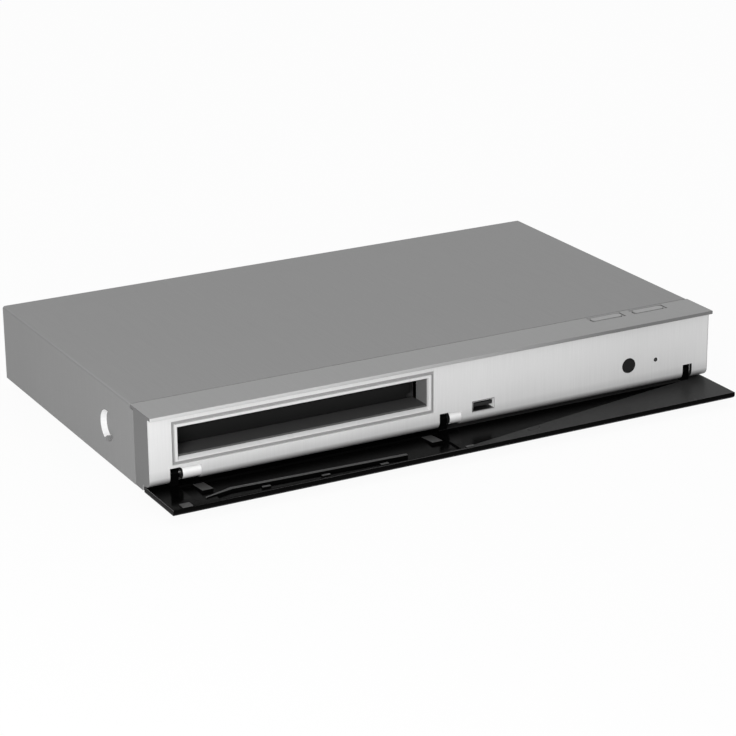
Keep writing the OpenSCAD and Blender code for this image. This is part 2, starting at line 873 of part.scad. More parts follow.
module fascia_section() {
    difference() {
        union() {
            translate([fascia_y, hinge_z]) square([fascia_t, lip_z - hinge_z]);
            translate([hinge_y, hinge_z - barrel_r]) square([fascia_tail_y - hinge_y, fascia_t]);
            intersection() {
                translate([hinge_y, hinge_z]) circle(r = barrel_r, $fn = round_fn);
                translate([fascia_y, hinge_z - barrel_r]) square(barrel_r);
            }
        }
        translate([hinge_y, hinge_z]) circle(r = barrel_r - fascia_t, $fn = round_fn);
    }
}

module fascia() {
    color("#d2d3d4") difference() {
        union() {
            along_x(-fascia_x, fascia_x) fascia_section();
            for (p = front_posts) rod_y(fascia_back_y, front_board_y, p.x, p.y, front_post_d);
            for (k = [0 : 3])
                span([pin_block_xs[k] - pin_block_ws[k], hinge_y - barrel_r / 2, hinge_z - barrel_r + fascia_t / 2],
                     [pin_block_xs[k], hinge_y + barrel_r, hinge_z + pin_block_h]);
        }
        for (k = [0 : 2]) {
            x1 = notch_xs[k] - notch_w / 2;
            x2 = notch_xs[k] + notch_w / 2;
            span([x1, fascia_y - cut_over, door_floor_gap], [x2, fascia_tail_y + cut_over, notch_z]);
            if (k < 2) span([x2 - cut_over, fascia_y - cut_over, door_floor_gap],
                            [x2 + boss_ws[k], fascia_tail_y + cut_over, boss_z]);
            rod_x(x1 - pin_left, x1 + cut_over, hinge_y, hinge_z, hinge_pin_d);
            rod_x(x2 - cut_over, x2 + pin_right, hinge_y, hinge_z, hinge_pin_d);
        }
        span([frame_x1, fascia_y - cut_over, frame_z1], [frame_x2, fascia_back_y + cut_over, frame_z2]);
        span([usb_x - usb_w / 2 - usb_fit, fascia_y - cut_over, usb_z - usb_h / 2 - usb_fit],
             [usb_x + usb_w / 2 + usb_fit, fascia_back_y + cut_over, usb_z + usb_h / 2 + usb_fit]);
        rod_y(fascia_y - cut_over, fascia_back_y + cut_over, window_x, window_z, window_d, round_fn);
        rod_y(fascia_y - cut_over, fascia_back_y + cut_over, lamp_x, lamp_z, lamp_d);
    }
}

module hinge_boss(gap, w) {
    difference() {
        along_x(gap, w) {
            translate([boss_y, boss_z - boss_r]) circle(r = boss_r, $fn = round_fn);
            translate([boss_y, boss_z - 2 * boss_r]) square([fascia_tail_y - boss_y, 2 * boss_r]);
        }
        rod_x(-cut_over, pin_right, hinge_y, hinge_z, hinge_pin_d);
    }
}

module hinge_bosses() {
    color("#dcdddf") for (k = [0, 1])
        translate([notch_xs[k] + notch_w / 2, 0, 0]) hinge_boss(boss_gaps[k], boss_ws[k]);
}

module hinge_pins() {
    color("#b0b2b4") for (x = notch_xs)
        rod_x(x - notch_w / 2 - pin_left, x + notch_w / 2 + pin_right, hinge_y, hinge_z, hinge_pin_d);
}

// Shallow bright ring in the fascia, with a sill that slopes up to the opening
module tray_opening_frame() {
    bevel_y = fascia_y + mouth_bevel_d;
    rim_y = fascia_y + rim_d;
    low_z = mouth_z - sill_drop;
    color("#c9cacb") difference() {
        union() {
            span([frame_x1, fascia_y + groove_d, frame_z1], [frame_x2, fascia_back_y, frame_z2]);
            span([frame_x1 + groove_w, fascia_y, frame_z1 + groove_w],
                 [frame_x2 - groove_w, bevel_y, frame_z2 - groove_w]);
        }
        span([mouth_x1, fascia_y - cut_over, low_z], [mouth_x2, fascia_back_y + cut_over, mouth_z2]);
        intersection() {
            along_x(frame_x1, frame_x2) polygon([[fascia_y, low_z - sill_h], [bevel_y, low_z],
                [bevel_y, mouth_z2], [rim_y, mouth_z2], [fascia_y, mouth_z2 + rim_w]]);
            along_z(frame_z1, frame_z2) polygon([[mouth_x1 - rim_w, fascia_y], [mouth_x1, rim_y],
                [mouth_x1, bevel_y], [mouth_x2, bevel_y], [mouth_x2, rim_y], [mouth_x2 + rim_w, fascia_y]]);
        }
    }
}

// Dark throat behind the ring, whose floor runs on under the shut tray's front
module mouth_tunnel() {
    tunnel_y = face_y + tunnel_in;
    color("#2b2c2e") difference() {
        union() {
            span([frame_x1 - tunnel_t, fascia_back_y, frame_z1 - tunnel_t],
                 [frame_x2 + tunnel_t, fascia_back_y + tunnel_t, frame_z2 + tunnel_t]);
            span([mouth_x1 - tunnel_t, fascia_back_y, mouth_z - tunnel_t],
                 [mouth_x2 + tunnel_t, tunnel_y, mouth_z2 + tunnel_t]);
            span([mouth_x1, fascia_back_y, mouth_z - tunnel_t], [mouth_x2, tunnel_y + tunnel_lip, mouth_z]);
        }
        span([mouth_x1, fascia_back_y - cut_over, mouth_z], [mouth_x2, tunnel_y + cut_over, mouth_z2]);
    }
}

module receiver_window() {
    color("#101012") {
        rod_y(fascia_y - window_dome, fascia_back_y, window_x, window_z, window_d, round_fn);
        rod_y(fascia_back_y, fascia_back_y + lens_flange_t, window_x, window_z, window_d + 2 * lens_flange, round_fn);
    }
}

module lamp_lens() {
    color("#d8dcd8") {
        rod_y(fascia_y, fascia_back_y, lamp_x, lamp_z, lamp_d);
        rod_y(fascia_back_y, fascia_back_y + lens_flange_t, lamp_x, lamp_z, lamp_d + 2 * lens_flange);
    }
}

module front_usb_shell() {
    y1 = fascia_y - usb_proud;
    color("#b4b6b8") difference() {
        span([usb_x - usb_w / 2, y1, usb_z - usb_h / 2], [usb_x + usb_w / 2, front_board_y, usb_z + usb_h / 2]);
        span([usb_x - usb_w / 2 + usb_shell_t, y1 - cut_over, usb_z - usb_h / 2 + usb_shell_t],
             [usb_x + usb_w / 2 - usb_shell_t, front_board_y - usb_back_t, usb_z + usb_h / 2 - usb_shell_t]);
    }
}

module front_usb_tongue() {
    color("#161618") span(
        [usb_x - usb_tongue_w / 2, fascia_y + usb_tongue_in, usb_z + usb_tongue_up - usb_tongue_h / 2],
        [usb_x + usb_tongue_w / 2, front_board_y - usb_back_t, usb_z + usb_tongue_up + usb_tongue_h / 2]);
}

module front_board() {
    y2 = front_board_y + board_t;
    color("#2f5a3a") span([front_board_x1, front_board_y, front_board_z1], [front_board_x2, y2, front_board_z2]);
    color("#151515") span([window_x - receiver_w / 2, front_board_y - receiver_d, window_z - receiver_h / 2],
        [window_x + receiver_w / 2, front_board_y, window_z + receiver_h / 2]);
    color("#e8e8e0") rod_y(front_board_y - lamp_len, front_board_y, lamp_x, lamp_z, lamp_d + lens_flange);
    color("#e8e8e0") span([ribbon_x - ribbon_w / 2 - lens_flange, y2, ribbon_z - ribbon_socket_h / 2],
        [ribbon_x + ribbon_w / 2 + lens_flange, y2 + ribbon_socket_d, ribbon_z + ribbon_socket_h / 2]);
}

module key_board() {
    color("#2f5a3a") span([key_board_x1, key_y - key_board_d / 2, key_board_z],
        [key_board_x2, key_y + key_board_d / 2, key_board_z + key_board_t]);
}

module tact_switches() {
    color("#3a3a3c") for (x = [key_x1, key_x2]) {
        span([x - tact_w / 2, key_y - tact_w / 2, tact_z], [x + tact_w / 2, key_y + tact_w / 2, tact_z + tact_h]);
        rod_z(tact_z + tact_h, tact_z + tact_h + tact_top_h, x, key_y, tact_top_d);
    }
}

module key(x) {
    stem_z = key_z - key_flange_h - key_stem_h;
    along_z(key_z, body_h) slot_shape(x - key_w / 2, x + key_w / 2, key_y, key_d);
    span([x - key_w / 2 - key_flange, key_y - key_d / 2 - key_flange, key_z - key_flange_h],
         [x + key_w / 2 + key_flange, key_y + key_d / 2 + key_flange, key_z]);
    rod_z(stem_z, key_z - key_flange_h, x, key_y, key_stem_d);
}

module power_key() {
    color("#a9aaab") key(key_x1);
}

module open_key() {
    color("#a9aaab") key(key_x2);
}

// Door, as it lies open

module lug_outline() {
    translate([hinge_y, hinge_z]) circle(r = eye_r, $fn = round_fn);
    translate([hinge_y - eye_r, door_top_z - door_t / 2]) square([2 * eye_r, hinge_z - door_top_z + door_t / 2]);
}

module door_outer_panel() {
    color("#1b1c1e") along_x(-door_x, door_x) {
        translate([door_front_y + door_edge_r, door_floor_gap])
            square([door_rear_y - door_front_y - door_edge_r, door_panel_t]);
        intersection() {
            translate([door_front_y + door_edge_r, panel_top_z]) circle(r = door_edge_r, $fn = small_fn);
            translate([door_front_y, door_floor_gap]) square([door_edge_r, door_panel_t]);
        }
    }
}

module door_inner_frame() {
    pocket_y1 = hinge_y - pocket_front_in;
    pocket_y2 = hinge_y - pocket_rear_gap;
    root_z = pocket_z - pocket_depth / 2;
    step_x = pocket_x1 + step_w;
    color("#1f2022") difference() {
        union() {
            difference() {
                span([-door_x, door_front_y, panel_top_z], [door_x, door_rear_y, door_top_z]);
                span([pocket_x1, pocket_y1, pocket_z], [pocket_x2, pocket_y2, door_top_z + cut_over]);
            }
            for (x = notch_xs) along_x(x - lug_w / 2, x + lug_w / 2) intersection() {
                lug_outline();
                translate([hinge_y - eye_r, panel_top_z]) square([2 * eye_r, hinge_z + eye_r - panel_top_z]);
            }
            for (x = [pocket_x1 + left_wedge_in, pocket_x2 - right_wedge_in - wedge_w]) along_x(x, x + wedge_w)
                polygon([[wedge_y1, root_z], [wedge_y1, pocket_z + wedge_h],
                    [wedge_y2, pocket_z + wedge_low_h], [wedge_y2, root_z]]);
            along_z(root_z, pocket_z + rib_h) polygon([[rib_x1, rib_y1], [rib_x2, rib_y2],
                [rib_x2, rib_y2 + rib_w], [rib_x1, rib_y1 + rib_w],
                [step_x - step_w / 2, step_y], [step_x - step_w / 2, step_y - thin_rib_w]]);
            span([pocket_x1 - cut_over, pocket_y1 - cut_over, root_z], [step_x, step_y, door_top_z]);
            for (k = [0 : 2]) {
                x = pocket_x1 + small_tab_first + k * small_tab_pitch;
                y = small_tab_y - k * small_tab_slant;
                span([x, y, root_z], [x + small_tab_w, y + small_tab_d, pocket_z + small_tab_h]);
            }
            span([panel_tab_x - small_tab_w / 2, hinge_y - panel_tab_in - small_tab_d / 2, panel_top_z],
                 [panel_tab_x + small_tab_w / 2, hinge_y - panel_tab_in + small_tab_d / 2, door_top_z + panel_tab_h]);
        }
        for (x = notch_xs) rod_x(x - lug_w, x + lug_w, hinge_y, hinge_z, hinge_pin_d + 2 * pin_clearance);
    }
}

module door_striker() {
    x1 = -half_w + striker_side;
    y1 = hinge_y - striker_front_in - striker_d / 2;
    color("#c4c6c8") span([x1, y1, door_top_z], [x1 + striker_w, y1 + striker_d, door_top_z + striker_h]);
}

// Gears

function involute(a) = tan(a) - a * PI / 180;

function tooth_half_angle(r, pitch_r, m) =
    let (base_r = pitch_r * cos(pressure_angle), a = acos(min(1, base_r / r)))
    (((PI * m / 2 - backlash / 2) / (2 * pitch_r)) + involute(pressure_angle) - involute(a)) * 180 / PI;

function gear_points(m, teeth) =
    let (
        pitch_r = m * teeth / 2,
        root_r = pitch_r - dedendum_share * m,
        tip_r = pitch_r + addendum_share * m,
        first_r = max(root_r, pitch_r * cos(pressure_angle)),
        radii = concat([root_r], [for (k = [0 : flank_steps]) first_r + (tip_r - first_r) * k / flank_steps]),
        halves = [for (r = radii) tooth_half_angle(max(r, first_r), pitch_r, m)],
        last = len(radii) - 1
    )
    [for (t = [0 : teeth - 1]) let (mid = t * 360 / teeth) each concat(
        [for (k = [0 : last]) radii[k] * [cos(mid - halves[k]), sin(mid - halves[k])]],
        [for (k = [last : -1 : 0]) radii[k] * [cos(mid + halves[k]), sin(mid + halves[k])]])];

module gear(m, teeth, h) {
    linear_extrude(h) polygon(gear_points(m, teeth));
}

// Teeth of the rack point to -u, and one of them is centred on v = centre_v
module rack_outline(v1, v2, centre_v) {
    m = rack_module;
    half_t = (PI * m / 2 - backlash / 2) / 2;
    slope = tan(pressure_angle);
    tip = addendum_share * m;
    root = dedendum_share * m;
    first = ceil((v1 + m - centre_v) / rack_pitch);
    last = floor((v2 - m - centre_v) / rack_pitch);
    u2 = rack_u + root + rack_back_w;
    teeth = [for (k = [first : last]) let (c = centre_v + k * rack_pitch) each [
        [rack_u + root, c - half_t - root * slope], [rack_u - tip, c - half_t + tip * slope],
        [rack_u - tip, c + half_t - tip * slope], [rack_u + root, c + half_t + root * slope]]];
    polygon(concat([[u2, v1], [rack_u + root, v1]], teeth, [[rack_u + root, v2], [u2, v2]]));
}

// Tray

module disc_tray() {
    hw = tray_w / 2;
    front_v = -tray_front_len + tray_front_t;
    color("#1c1c1e") in_loader() {
        difference() {
            union() {
                span([-hw, front_v, deck_z], [hw, tray_back_len, tray_top_z]);
                for (s = [-1, 1]) span([s > 0 ? hw : -hw - rail_w, front_v, deck_z],
                    [s > 0 ? hw + rail_w : -hw, tray_back_len, deck_z + rail_h]);
                along_z(deck_z - rack_h, deck_z) rack_outline(-rack_front_len, tray_back_len, pinion_v);
            }
            rod_z(tray_top_z - disc_recess_h, tray_top_z + cut_over, 0, 0, disc_recess_d, 128);
            rod_z(tray_top_z - disc_recess_h - small_recess_h, tray_top_z + cut_over, 0, 0, small_recess_d, 128);
            rod_z(deck_z - cut_over, tray_top_z + cut_over, 0, 0, hub_slot_w, round_fn);
            span([-hub_slot_w / 2, 0, deck_z - cut_over],
                 [hub_slot_w / 2, tray_back_len + cut_over, tray_top_z + cut_over]);
        }
    }
}

module tray_front() {
    v1 = -tray_front_len;
    hw = tray_front_w / 2;
    z2 = tray_front_z + tray_front_h;
    color("#141416") in_loader() difference() {
        span([-hw, v1, tray_front_z], [hw, v1 + tray_front_t, z2]);
        for (s = [-1, 1]) span([s > 0 ? hw - tray_notch : -hw - cut_over, v1 - cut_over, tray_front_z - cut_over],
            [s > 0 ? hw + cut_over : -hw + tray_notch, v1 + tray_front_t + cut_over, tray_front_z + tray_notch]);
    }
}

module tray_drive_gear() {
    color("#e6e2d6") in_loader() translate([pinion_u, pinion_v, 0]) difference() {
        union() {
            translate([0, 0, wheel_z]) rotate(mesh_angle) gear(gear_module, wheel_teeth, wheel_h);
            translate([0, 0, pinion_z]) rotate(180 / pinion_teeth) gear(rack_module, pinion_teeth, pinion_h);
        }
        rod_z(wheel_z - cut_over, pinion_z + pinion_h + cut_over, 0, 0, post_d + 2 * pin_clearance);
    }
}

module grooved_pulley(d, bore) {
    difference() {
        union() {
            cylinder(d = d - 2 * pulley_flange, h = pulley_h, $fn = round_fn);
            for (z = [0, pulley_h - pulley_flange_t]) translate([0, 0, z])
                cylinder(d = d, h = pulley_flange_t, $fn = round_fn);
        }
        translate([0, 0, -cut_over]) cylinder(d = bore, h = pulley_h + 2 * cut_over, $fn = small_fn);
    }
}

module pulley_gear() {
    bore = post_d + 2 * pin_clearance;
    color("#e6e2d6") in_loader() translate([pulley_u, pulley_v, 0]) {
        translate([0, 0, pulley_z]) grooved_pulley(pulley_d, bore);
        difference() {
            union() {
                translate([0, 0, wheel_z]) rotate(mesh_angle + 180 + 180 / pulley_teeth)
                    gear(gear_module, pulley_teeth, wheel_h);
                rod_z(pulley_z + pulley_h, wheel_z, 0, 0, shoulder_d + wall_t / 2);
            }
            rod_z(pulley_z, wheel_z + wheel_h + cut_over, 0, 0, bore);
        }
    }
}

module motor_pulley() {
    color("#d8d4c8") in_loader() translate([motor_u, motor_v, pulley_z])
        grooved_pulley(motor_pulley_d, motor_shaft_d + 2 * pin_clearance);
}

function belt_points(r1, r2, d) =
    let (lean = acos((r2 - r1) / d), step = (360 - 2 * lean) / belt_steps, step1 = 2 * lean / belt_steps)
    concat(
        [for (k = [0 : belt_steps]) [d, 0] + r2 * [cos(-180 + lean + k * step), sin(-180 + lean + k * step)]],
        [for (k = [0 : belt_steps]) r1 * [cos(180 - lean + k * step1), sin(180 - lean + k * step1)]]);

module drive_belt() {
    r1 = motor_pulley_d / 2 - pulley_flange + belt_clear;
    r2 = pulley_d / 2 - pulley_flange + belt_clear;
    du = pulley_u - motor_u;
    dv = pulley_v - motor_v;
    z1 = pulley_z + (pulley_h - belt_t) / 2;
    color("#262626") in_loader() translate([motor_u, motor_v, z1]) rotate(atan2(dv, du))
        linear_extrude(belt_t) difference() {
            polygon(belt_points(r1 + belt_t, r2 + belt_t, norm([du, dv])));
            polygon(belt_points(r1, r2, norm([du, dv])));
        }
}

module loading_motor() {
    color("#a2a4a6") in_loader() {
        rod_z(motor_z, motor_z + motor_h, motor_u, motor_v, loading_motor_d, round_fn);
        rod_z(loader_top_z, loader_top_z + motor_flange_t, motor_u, motor_v, loading_motor_d + 2 * motor_flange_w,
            round_fn);
        rod_z(motor_z + motor_h, pulley_z + pulley_h, motor_u, motor_v, motor_shaft_d);
    }
}

// Loader

module loader_chassis() {
    u2 = wall_u + wall_t;
    hw = plate_hw + opening_gap;
    cam_v1 = cam_v - cam_t / 2 - fit_gap;
    cam_v2 = cam_v + cam_t / 2 + fit_gap;
    color("#3c3d40") in_loader() difference() {
        union() {
            span([-u2, -floor_front_len, loader_floor_z], [u2, loader_back_len, loader_top_z]);
            for (s = [-1, 1]) {
                span([s > 0 ? wall_u : -u2, -wall_front_len, loader_floor_z],
                     [s > 0 ? u2 : -wall_u, loader_back_len, bridge_z]);
                span([s > 0 ? hw : -hw - lug_t, pivot_v - pivot_d, loader_floor_z],
                     [s > 0 ? hw + lug_t : -hw, pivot_v + pivot_d, pivot_z + pivot_d]);
            }
            for (p = ear_pts) span([min(p.x, p.x - sign(p.x) * ear_w) - ear_w / 2, p.y - ear_len / 2, loader_floor_z],
                [max(p.x, p.x - sign(p.x) * ear_w) + ear_w / 2, p.y + ear_len / 2, loader_top_z]);
            for (u = [cam_rest_u1 + cam_guide_w, cam_rest_u2 - cam_guide_w], v = [cam_v1 - rib_t, cam_v2])
                span([u - cam_guide_w / 2, v, loader_floor_z], [u + cam_guide_w / 2, v + rib_t, loader_top_z + cam_guide_h]);
            rod_z(loader_floor_z, wheel_z - fit_gap, pinion_u, pinion_v, shoulder_d);
            rod_z(loader_floor_z, pinion_z + pinion_h, pinion_u, pinion_v, post_d);
            rod_z(loader_floor_z, pulley_z - fit_gap, pulley_u, pulley_v, shoulder_d);
            rod_z(loader_floor_z, wheel_z + wheel_h, pulley_u, pulley_v, post_d);
        }
        for (s = [-1, 1]) span([s > 0 ? wall_u - cut_over : -wall_u - rail_w, -wall_front_len - cut_over,
                deck_z - fit_gap], [s > 0 ? wall_u + rail_w : -wall_u + cut_over, loader_back_len + cut_over,
                deck_z + rail_h + fit_gap]);
        span([-hw, cam_v2 + rib_t, loader_floor_z - cut_over], [hw, pivot_v + pivot_d + opening_gap, pivot_z + 2 * pivot_d]);
        rod_x(-hw - lug_t - cut_over, hw + lug_t + cut_over, pivot_v, pivot_z, pivot_d + 2 * pivot_clear);
        rod_z(loader_floor_z - cut_over, loader_top_z + cut_over, motor_u, motor_v, loading_motor_d + 2 * fit_gap, round_fn);
        span([cam_pin_u - cam_pin_d / 2 - fit_gap, cam_v - cam_pin_over - fit_gap, loader_top_z + fit_gap],
             [cam_pin_u + cam_pin_d / 2 + fit_gap, cam_v2 + rib_t + cut_over, loader_top_z + cam_guide_h + cut_over]);
        for (p = ear_pts) rod_z(loader_floor_z - cut_over, loader_top_z + cut_over, p.x, p.y, ear_hole_d);
    }
}

module clamp_bridge() {
    u2 = wall_u + wall_t;
    color("#b3b5b7") in_loader() difference() {
        span([-u2, -bridge_len / 2, bridge_z], [u2, bridge_len / 2, bridge_z + bridge_t]);
        rod_z(bridge_z - cut_over, bridge_z + bridge_t + cut_over, 0, 0, bridge_hole_d, round_fn);
    }
}

module clamper() {
    z1 = disc_z + fit_gap;
    z2 = bridge_z + bridge_t + clamper_gap;
    magnet_z = z1 + clamper_floor_t;
    color("#2a2a2c") in_loader() difference() {
        union() {
            rod_z(z1, z2, 0, 0, clamper_neck_d, round_fn);
            rod_z(z2, z2 + clamper_flange_t, 0, 0, clamper_flange_d, round_fn);
        }
        rod_z(z1 - cut_over, magnet_z, 0, 0, clamper_hole_d, round_fn);
        rod_z(magnet_z, z2 + clamper_flange_t + cut_over, 0, 0, magnet_d, round_fn);
    }
}

module clamper_magnet() {
    z1 = disc_z + fit_gap + clamper_floor_t;
    color("#8e8f92") in_loader() difference() {
        rod_z(z1, z1 + magnet_h, 0, 0, magnet_d, round_fn);
        rod_z(z1 - cut_over, z1 + magnet_h + cut_over, 0, 0, magnet_hole_d);
    }
}

module rubber_dampers() {
    color("#3b2f2a") in_loader() for (p = ear_pts) difference() {
        rod_z(floor_z, loader_floor_z, p.x, p.y, damper_d);
        rod_z(floor_z - cut_over, loader_floor_z + cut_over, p.x, p.y, ear_hole_d);
    }
}

// The slot climbs from the lowered end, on the left, to the raised end at the rest place of the pin
module cam_slider() {
    low_pin_z = cam_pin_z - traverse_drop;
    r = cam_pin_d / 2 + cam_pin_clear;
    slope = atan2(traverse_drop, cam_travel);
    color("#e2dfd4") in_loader() difference() {
        span([cam_rest_u1, cam_v - cam_t / 2, cam_low_z], [cam_rest_u2, cam_v + cam_t / 2, cam_pin_z + r + cam_wall / 2]);
        along_y(cam_v - cam_t, cam_v + cam_t) {
            for (p = [[cam_pin_u, cam_pin_z], [cam_pin_u - cam_travel, low_pin_z]]) translate(p)
                circle(r = r, $fn = small_fn);
            polygon([for (e = [[cam_pin_u, cam_pin_z, -1], [cam_pin_u, cam_pin_z, 1],
                [cam_pin_u - cam_travel, low_pin_z, 1], [cam_pin_u - cam_travel, low_pin_z, -1]])
                [e.x - e.z * r * sin(slope), e.y + e.z * r * cos(slope)]]);
        }
    }
}

// Traverse and pickup, in the raised place

module traverse_frame() {
    hw = plate_hw;
    stepper_v2 = stepper_v + stepper_len;
    color("#4a4b4e") in_loader() difference() {
        union() {
            span([-hw, -plate_front_len, plate_z], [hw, pivot_v + pivot_d / 2, plate_top_z]);
            for (s = [-1, 1]) {
                span([s > 0 ? hw - rib_t : -hw, -plate_front_len, plate_z - rib_low],
                     [s > 0 ? hw : -hw + rib_t, pivot_v + pivot_d / 2, plate_z]);
                rod_x(s > 0 ? hw - rib_t : -hw - opening_gap - lug_t, s > 0 ? hw + opening_gap + lug_t : -hw + rib_t,
                    pivot_v, pivot_z, pivot_d);
                for (v = [rod_front_v, rod_back_v - rod_block]) span(
                    [s * rod_u - rod_d, v, rod_z - rod_d / 2 - arm_wall], [s * rod_u + rod_d, v + rod_block, plate_z]);
            }
            span([-hw, -plate_front_len, plate_z - rib_low], [hw, -plate_front_len + rib_t, plate_z]);
            span([screw_u - rod_d, screw_back_v, rod_z - rod_d / 2 - arm_wall],
                 [screw_u + rod_d, screw_back_v + rod_block, plate_z]);
            rod_y(cam_v - cam_pin_over, -plate_front_len + rib_t, cam_pin_u, cam_pin_z, cam_pin_d);
        }
        span([-window_hw, window_front_v, plate_z - rib_low - cut_over], [window_hw, window_back_v, plate_top_z + cut_over]);
        for (s = [-1, 1]) rod_y(rod_front_v, rod_back_v, s * rod_u, rod_z, rod_d);
        rod_z(plate_z - cut_over, plate_top_z + cut_over, 0, 0, spindle_shaft_d + 2 * clamper_gap);
        span([screw_u - stepper_d / 2 - fit_gap, stepper_v - fit_gap, plate_z - cut_over],
             [screw_u + stepper_d / 2 + fit_gap, stepper_v2 + fit_gap, plate_top_z + cut_over]);
        rod_y(screw_back_v - cut_over, screw_back_v + rod_block + cut_over, screw_u, rod_z, screw_d + 2 * nut_clear);
    }
}

module guide_rods() {
    color("#d0d2d4") in_loader() for (s = [-1, 1]) rod_y(rod_front_v, rod_back_v, s * rod_u, rod_z, rod_d);
}

module sled_motor() {
    color("#b8babc") in_loader() {
        rod_y(stepper_v, screw_front_v, screw_u, rod_z, stepper_d);
        span([screw_u - stepper_d / 2, screw_front_v - rod_block, rod_z],
             [screw_u + stepper_d / 2, screw_front_v, plate_top_z + rod_over]);
        span([screw_u - stepper_d / 2, screw_front_v - rod_block, plate_top_z],
             [screw_u + stepper_d / 2 + 2 * rod_block, screw_front_v, plate_top_z + rod_over]);
    }
}

module lead_screw() {
    color("#c9b27a") in_loader()
        rod_y(screw_front_v + nut_clear, screw_back_v + rod_block + rod_over, screw_u, rod_z, screw_d);
}

module pickup_sled() {
    v1 = sled_front_v;
    v2 = v1 + sled_len;
    arm_v = v1 + (sled_len - arm_len) / 2;
    arm_low_z = rod_z - rod_d / 2 - arm_wall;
    arm_high_z = plate_z - fit_gap;
    rod_bore = rod_d + 2 * pin_clearance;
    color("#57595c") in_loader() difference() {
        union() {
            span([-sled_hw, v1, sled_z], [sled_hw, v2, sled_z + sled_h]);
            span([-rod_u - rod_d, v1, arm_low_z], [-sled_hw, v1 + arm_len, arm_high_z]);
            span([-rod_u - rod_d, v2 - arm_len, arm_low_z], [-sled_hw, v2, arm_high_z]);
            span([sled_hw, arm_v, arm_low_z], [rod_u + rod_d, arm_v + arm_len, arm_high_z]);
            span([screw_u - screw_d, v1, arm_low_z], [-sled_hw, v1 + arm_len, arm_high_z]);
            span([-actuator_hw, v1, sled_z + sled_h], [actuator_hw, v1 + actuator_len, sled_z + sled_h + actuator_h]);
        }
        for (s = [-1, 1]) rod_y(v1 - cut_over, v2 + cut_over, s * rod_u, rod_z, rod_bore);
        rod_y(v1 - cut_over, v1 + arm_len + cut_over, screw_u, rod_z, screw_d + 2 * nut_clear);
    }
}

module objective_lens() {
    z1 = sled_z + sled_h + actuator_h;
    color("#5b4a78") in_loader() rod_z(z1, z1 + lens_t, 0, lens_r, lens_d, round_fn);
}

module spindle_motor() {
    z1 = plate_top_z;
    z2 = z1 + spindle_base_t;
    color("#9fa1a3") in_loader() difference() {
        union() {
            rod_z(z1, z2, 0, 0, spindle_base_d, round_fn);
            rod_z(z2, z2 + stator_h, 0, 0, stator_d, round_fn);
        }
        rod_z(z1 - cut_over, z2 + stator_h + cut_over, 0, 0, spindle_shaft_d + 2 * pin_clearance);
    }
}

module turntable() {
    rotor_z = plate_top_z + rotor_up;
    plate_low = disc_z - turntable_t;
    color("#2c2c2e") in_loader() {
        difference() {
            rod_z(rotor_z, plate_low, 0, 0, rotor_d, round_fn);
            rod_z(rotor_z - cut_over, rotor_top_z, 0, 0, rotor_d - 2 * rotor_wall, round_fn);
        }
        rod_z(plate_low, disc_z, 0, 0, turntable_d, round_fn);
        translate([0, 0, disc_z]) cylinder(d1 = hub_d, d2 = hub_d - 2 * hub_taper, h = hub_h, $fn = round_fn);
        rod_z(plate_z, plate_low, 0, 0, spindle_shaft_d);
    }
}

// Boards and rear sockets

module screw_holes(pts) {
    for (p = pts) rod_z(board_z - cut_over, board_top_z + cut_over, p.x, p.y, board_hole_d);
}

module main_board() {
    color("#2f5a3a") difference() {
        span([main_x1, main_y1, board_z], [main_x2, board_y2, board_top_z]);
        screw_holes(board_posts);
    }
    color("#e8e8e0") span([ribbon_x - ribbon_w / 2 - lens_flange, main_y1 + post_in, board_top_z],
        [ribbon_x + ribbon_w / 2 + lens_flange, main_y1 + post_in + ribbon_socket_d, board_top_z + ribbon_socket_h]);
}

module power_board() {
    color("#b79a5c") difference() {
        span([power_x1, power_y1, board_z], [power_x2, board_y2, board_top_z]);
        screw_holes(board_posts);
    }
}

module main_chip() {
    x = main_x1 + chip_in_x;
    y = main_y1 + chip_in_y;
    color("#17171a") span([x - chip_w / 2, y - chip_w / 2, board_top_z], [x + chip_w / 2, y + chip_w / 2, board_top_z + chip_t]);
}

module heatsink() {
    x = main_x1 + chip_in_x - heatsink_w / 2;
    y = main_y1 + chip_in_y - heatsink_w / 2;
    z = board_top_z + chip_t;
    pitch = (heatsink_w - heatsink_fin_t) / (heatsink_fins - 1);
    color("#3d4044") {
        span([x, y, z], [x + heatsink_w, y + heatsink_w, z + heatsink_base]);
        for (k = [0 : heatsink_fins - 1]) span([x + k * pitch, y, z], [x + k * pitch + heatsink_fin_t, y + heatsink_w, z + heatsink_h]);
    }
}

module transformer() {
    x = (power_x1 + power_x2) / 2;
    y = power_y1 + transformer_in_y;
    color("#c9a23a") span([x - transformer_w / 2, y - transformer_d / 2, board_top_z],
        [x + transformer_w / 2, y + transformer_d / 2, board_top_z + transformer_h]);
}

module capacitors() {
    x = (power_x1 + power_x2) / 2;
    color("#26313f") for (k = [-1, 0, 1])
        rod_z(board_top_z, board_top_z + cap_h, x + k * cap_pitch, power_y1 + cap_in_y, cap_d, round_fn);
}

module socket_block(x, w, d, h, port_w, port_h, port_d) {
    low = (h - port_h) / 2;
    difference() {
        span([x, back_y - d, board_top_z], [x + w, back_y, board_top_z + h]);
        span([x + (w - port_w) / 2, back_y - port_d, board_top_z + low],
             [x + (w + port_w) / 2, back_y + cut_over, board_top_z + low + port_h]);
    }
}

module hdmi_socket() {
    color("#b4b6b8") socket_block(hdmi_x + fit_gap / 2, hdmi_w, hdmi_d, hdmi_h, hdmi_w - 2 * hdmi_wall,
        hdmi_h - 2 * hdmi_wall, hdmi_d - hdmi_wall);
}

module hdmi_tongue() {
    x = hdmi_x + fit_gap / 2;
    mid_z = board_top_z + hdmi_h / 2;
    color("#161618") span([x + hdmi_w / 4 - hdmi_wall, back_y - hdmi_d + hdmi_wall, mid_z - hdmi_wall],
        [x + 3 * hdmi_w / 4 + hdmi_wall, back_y - 2 * hdmi_wall, mid_z + hdmi_wall]);
}

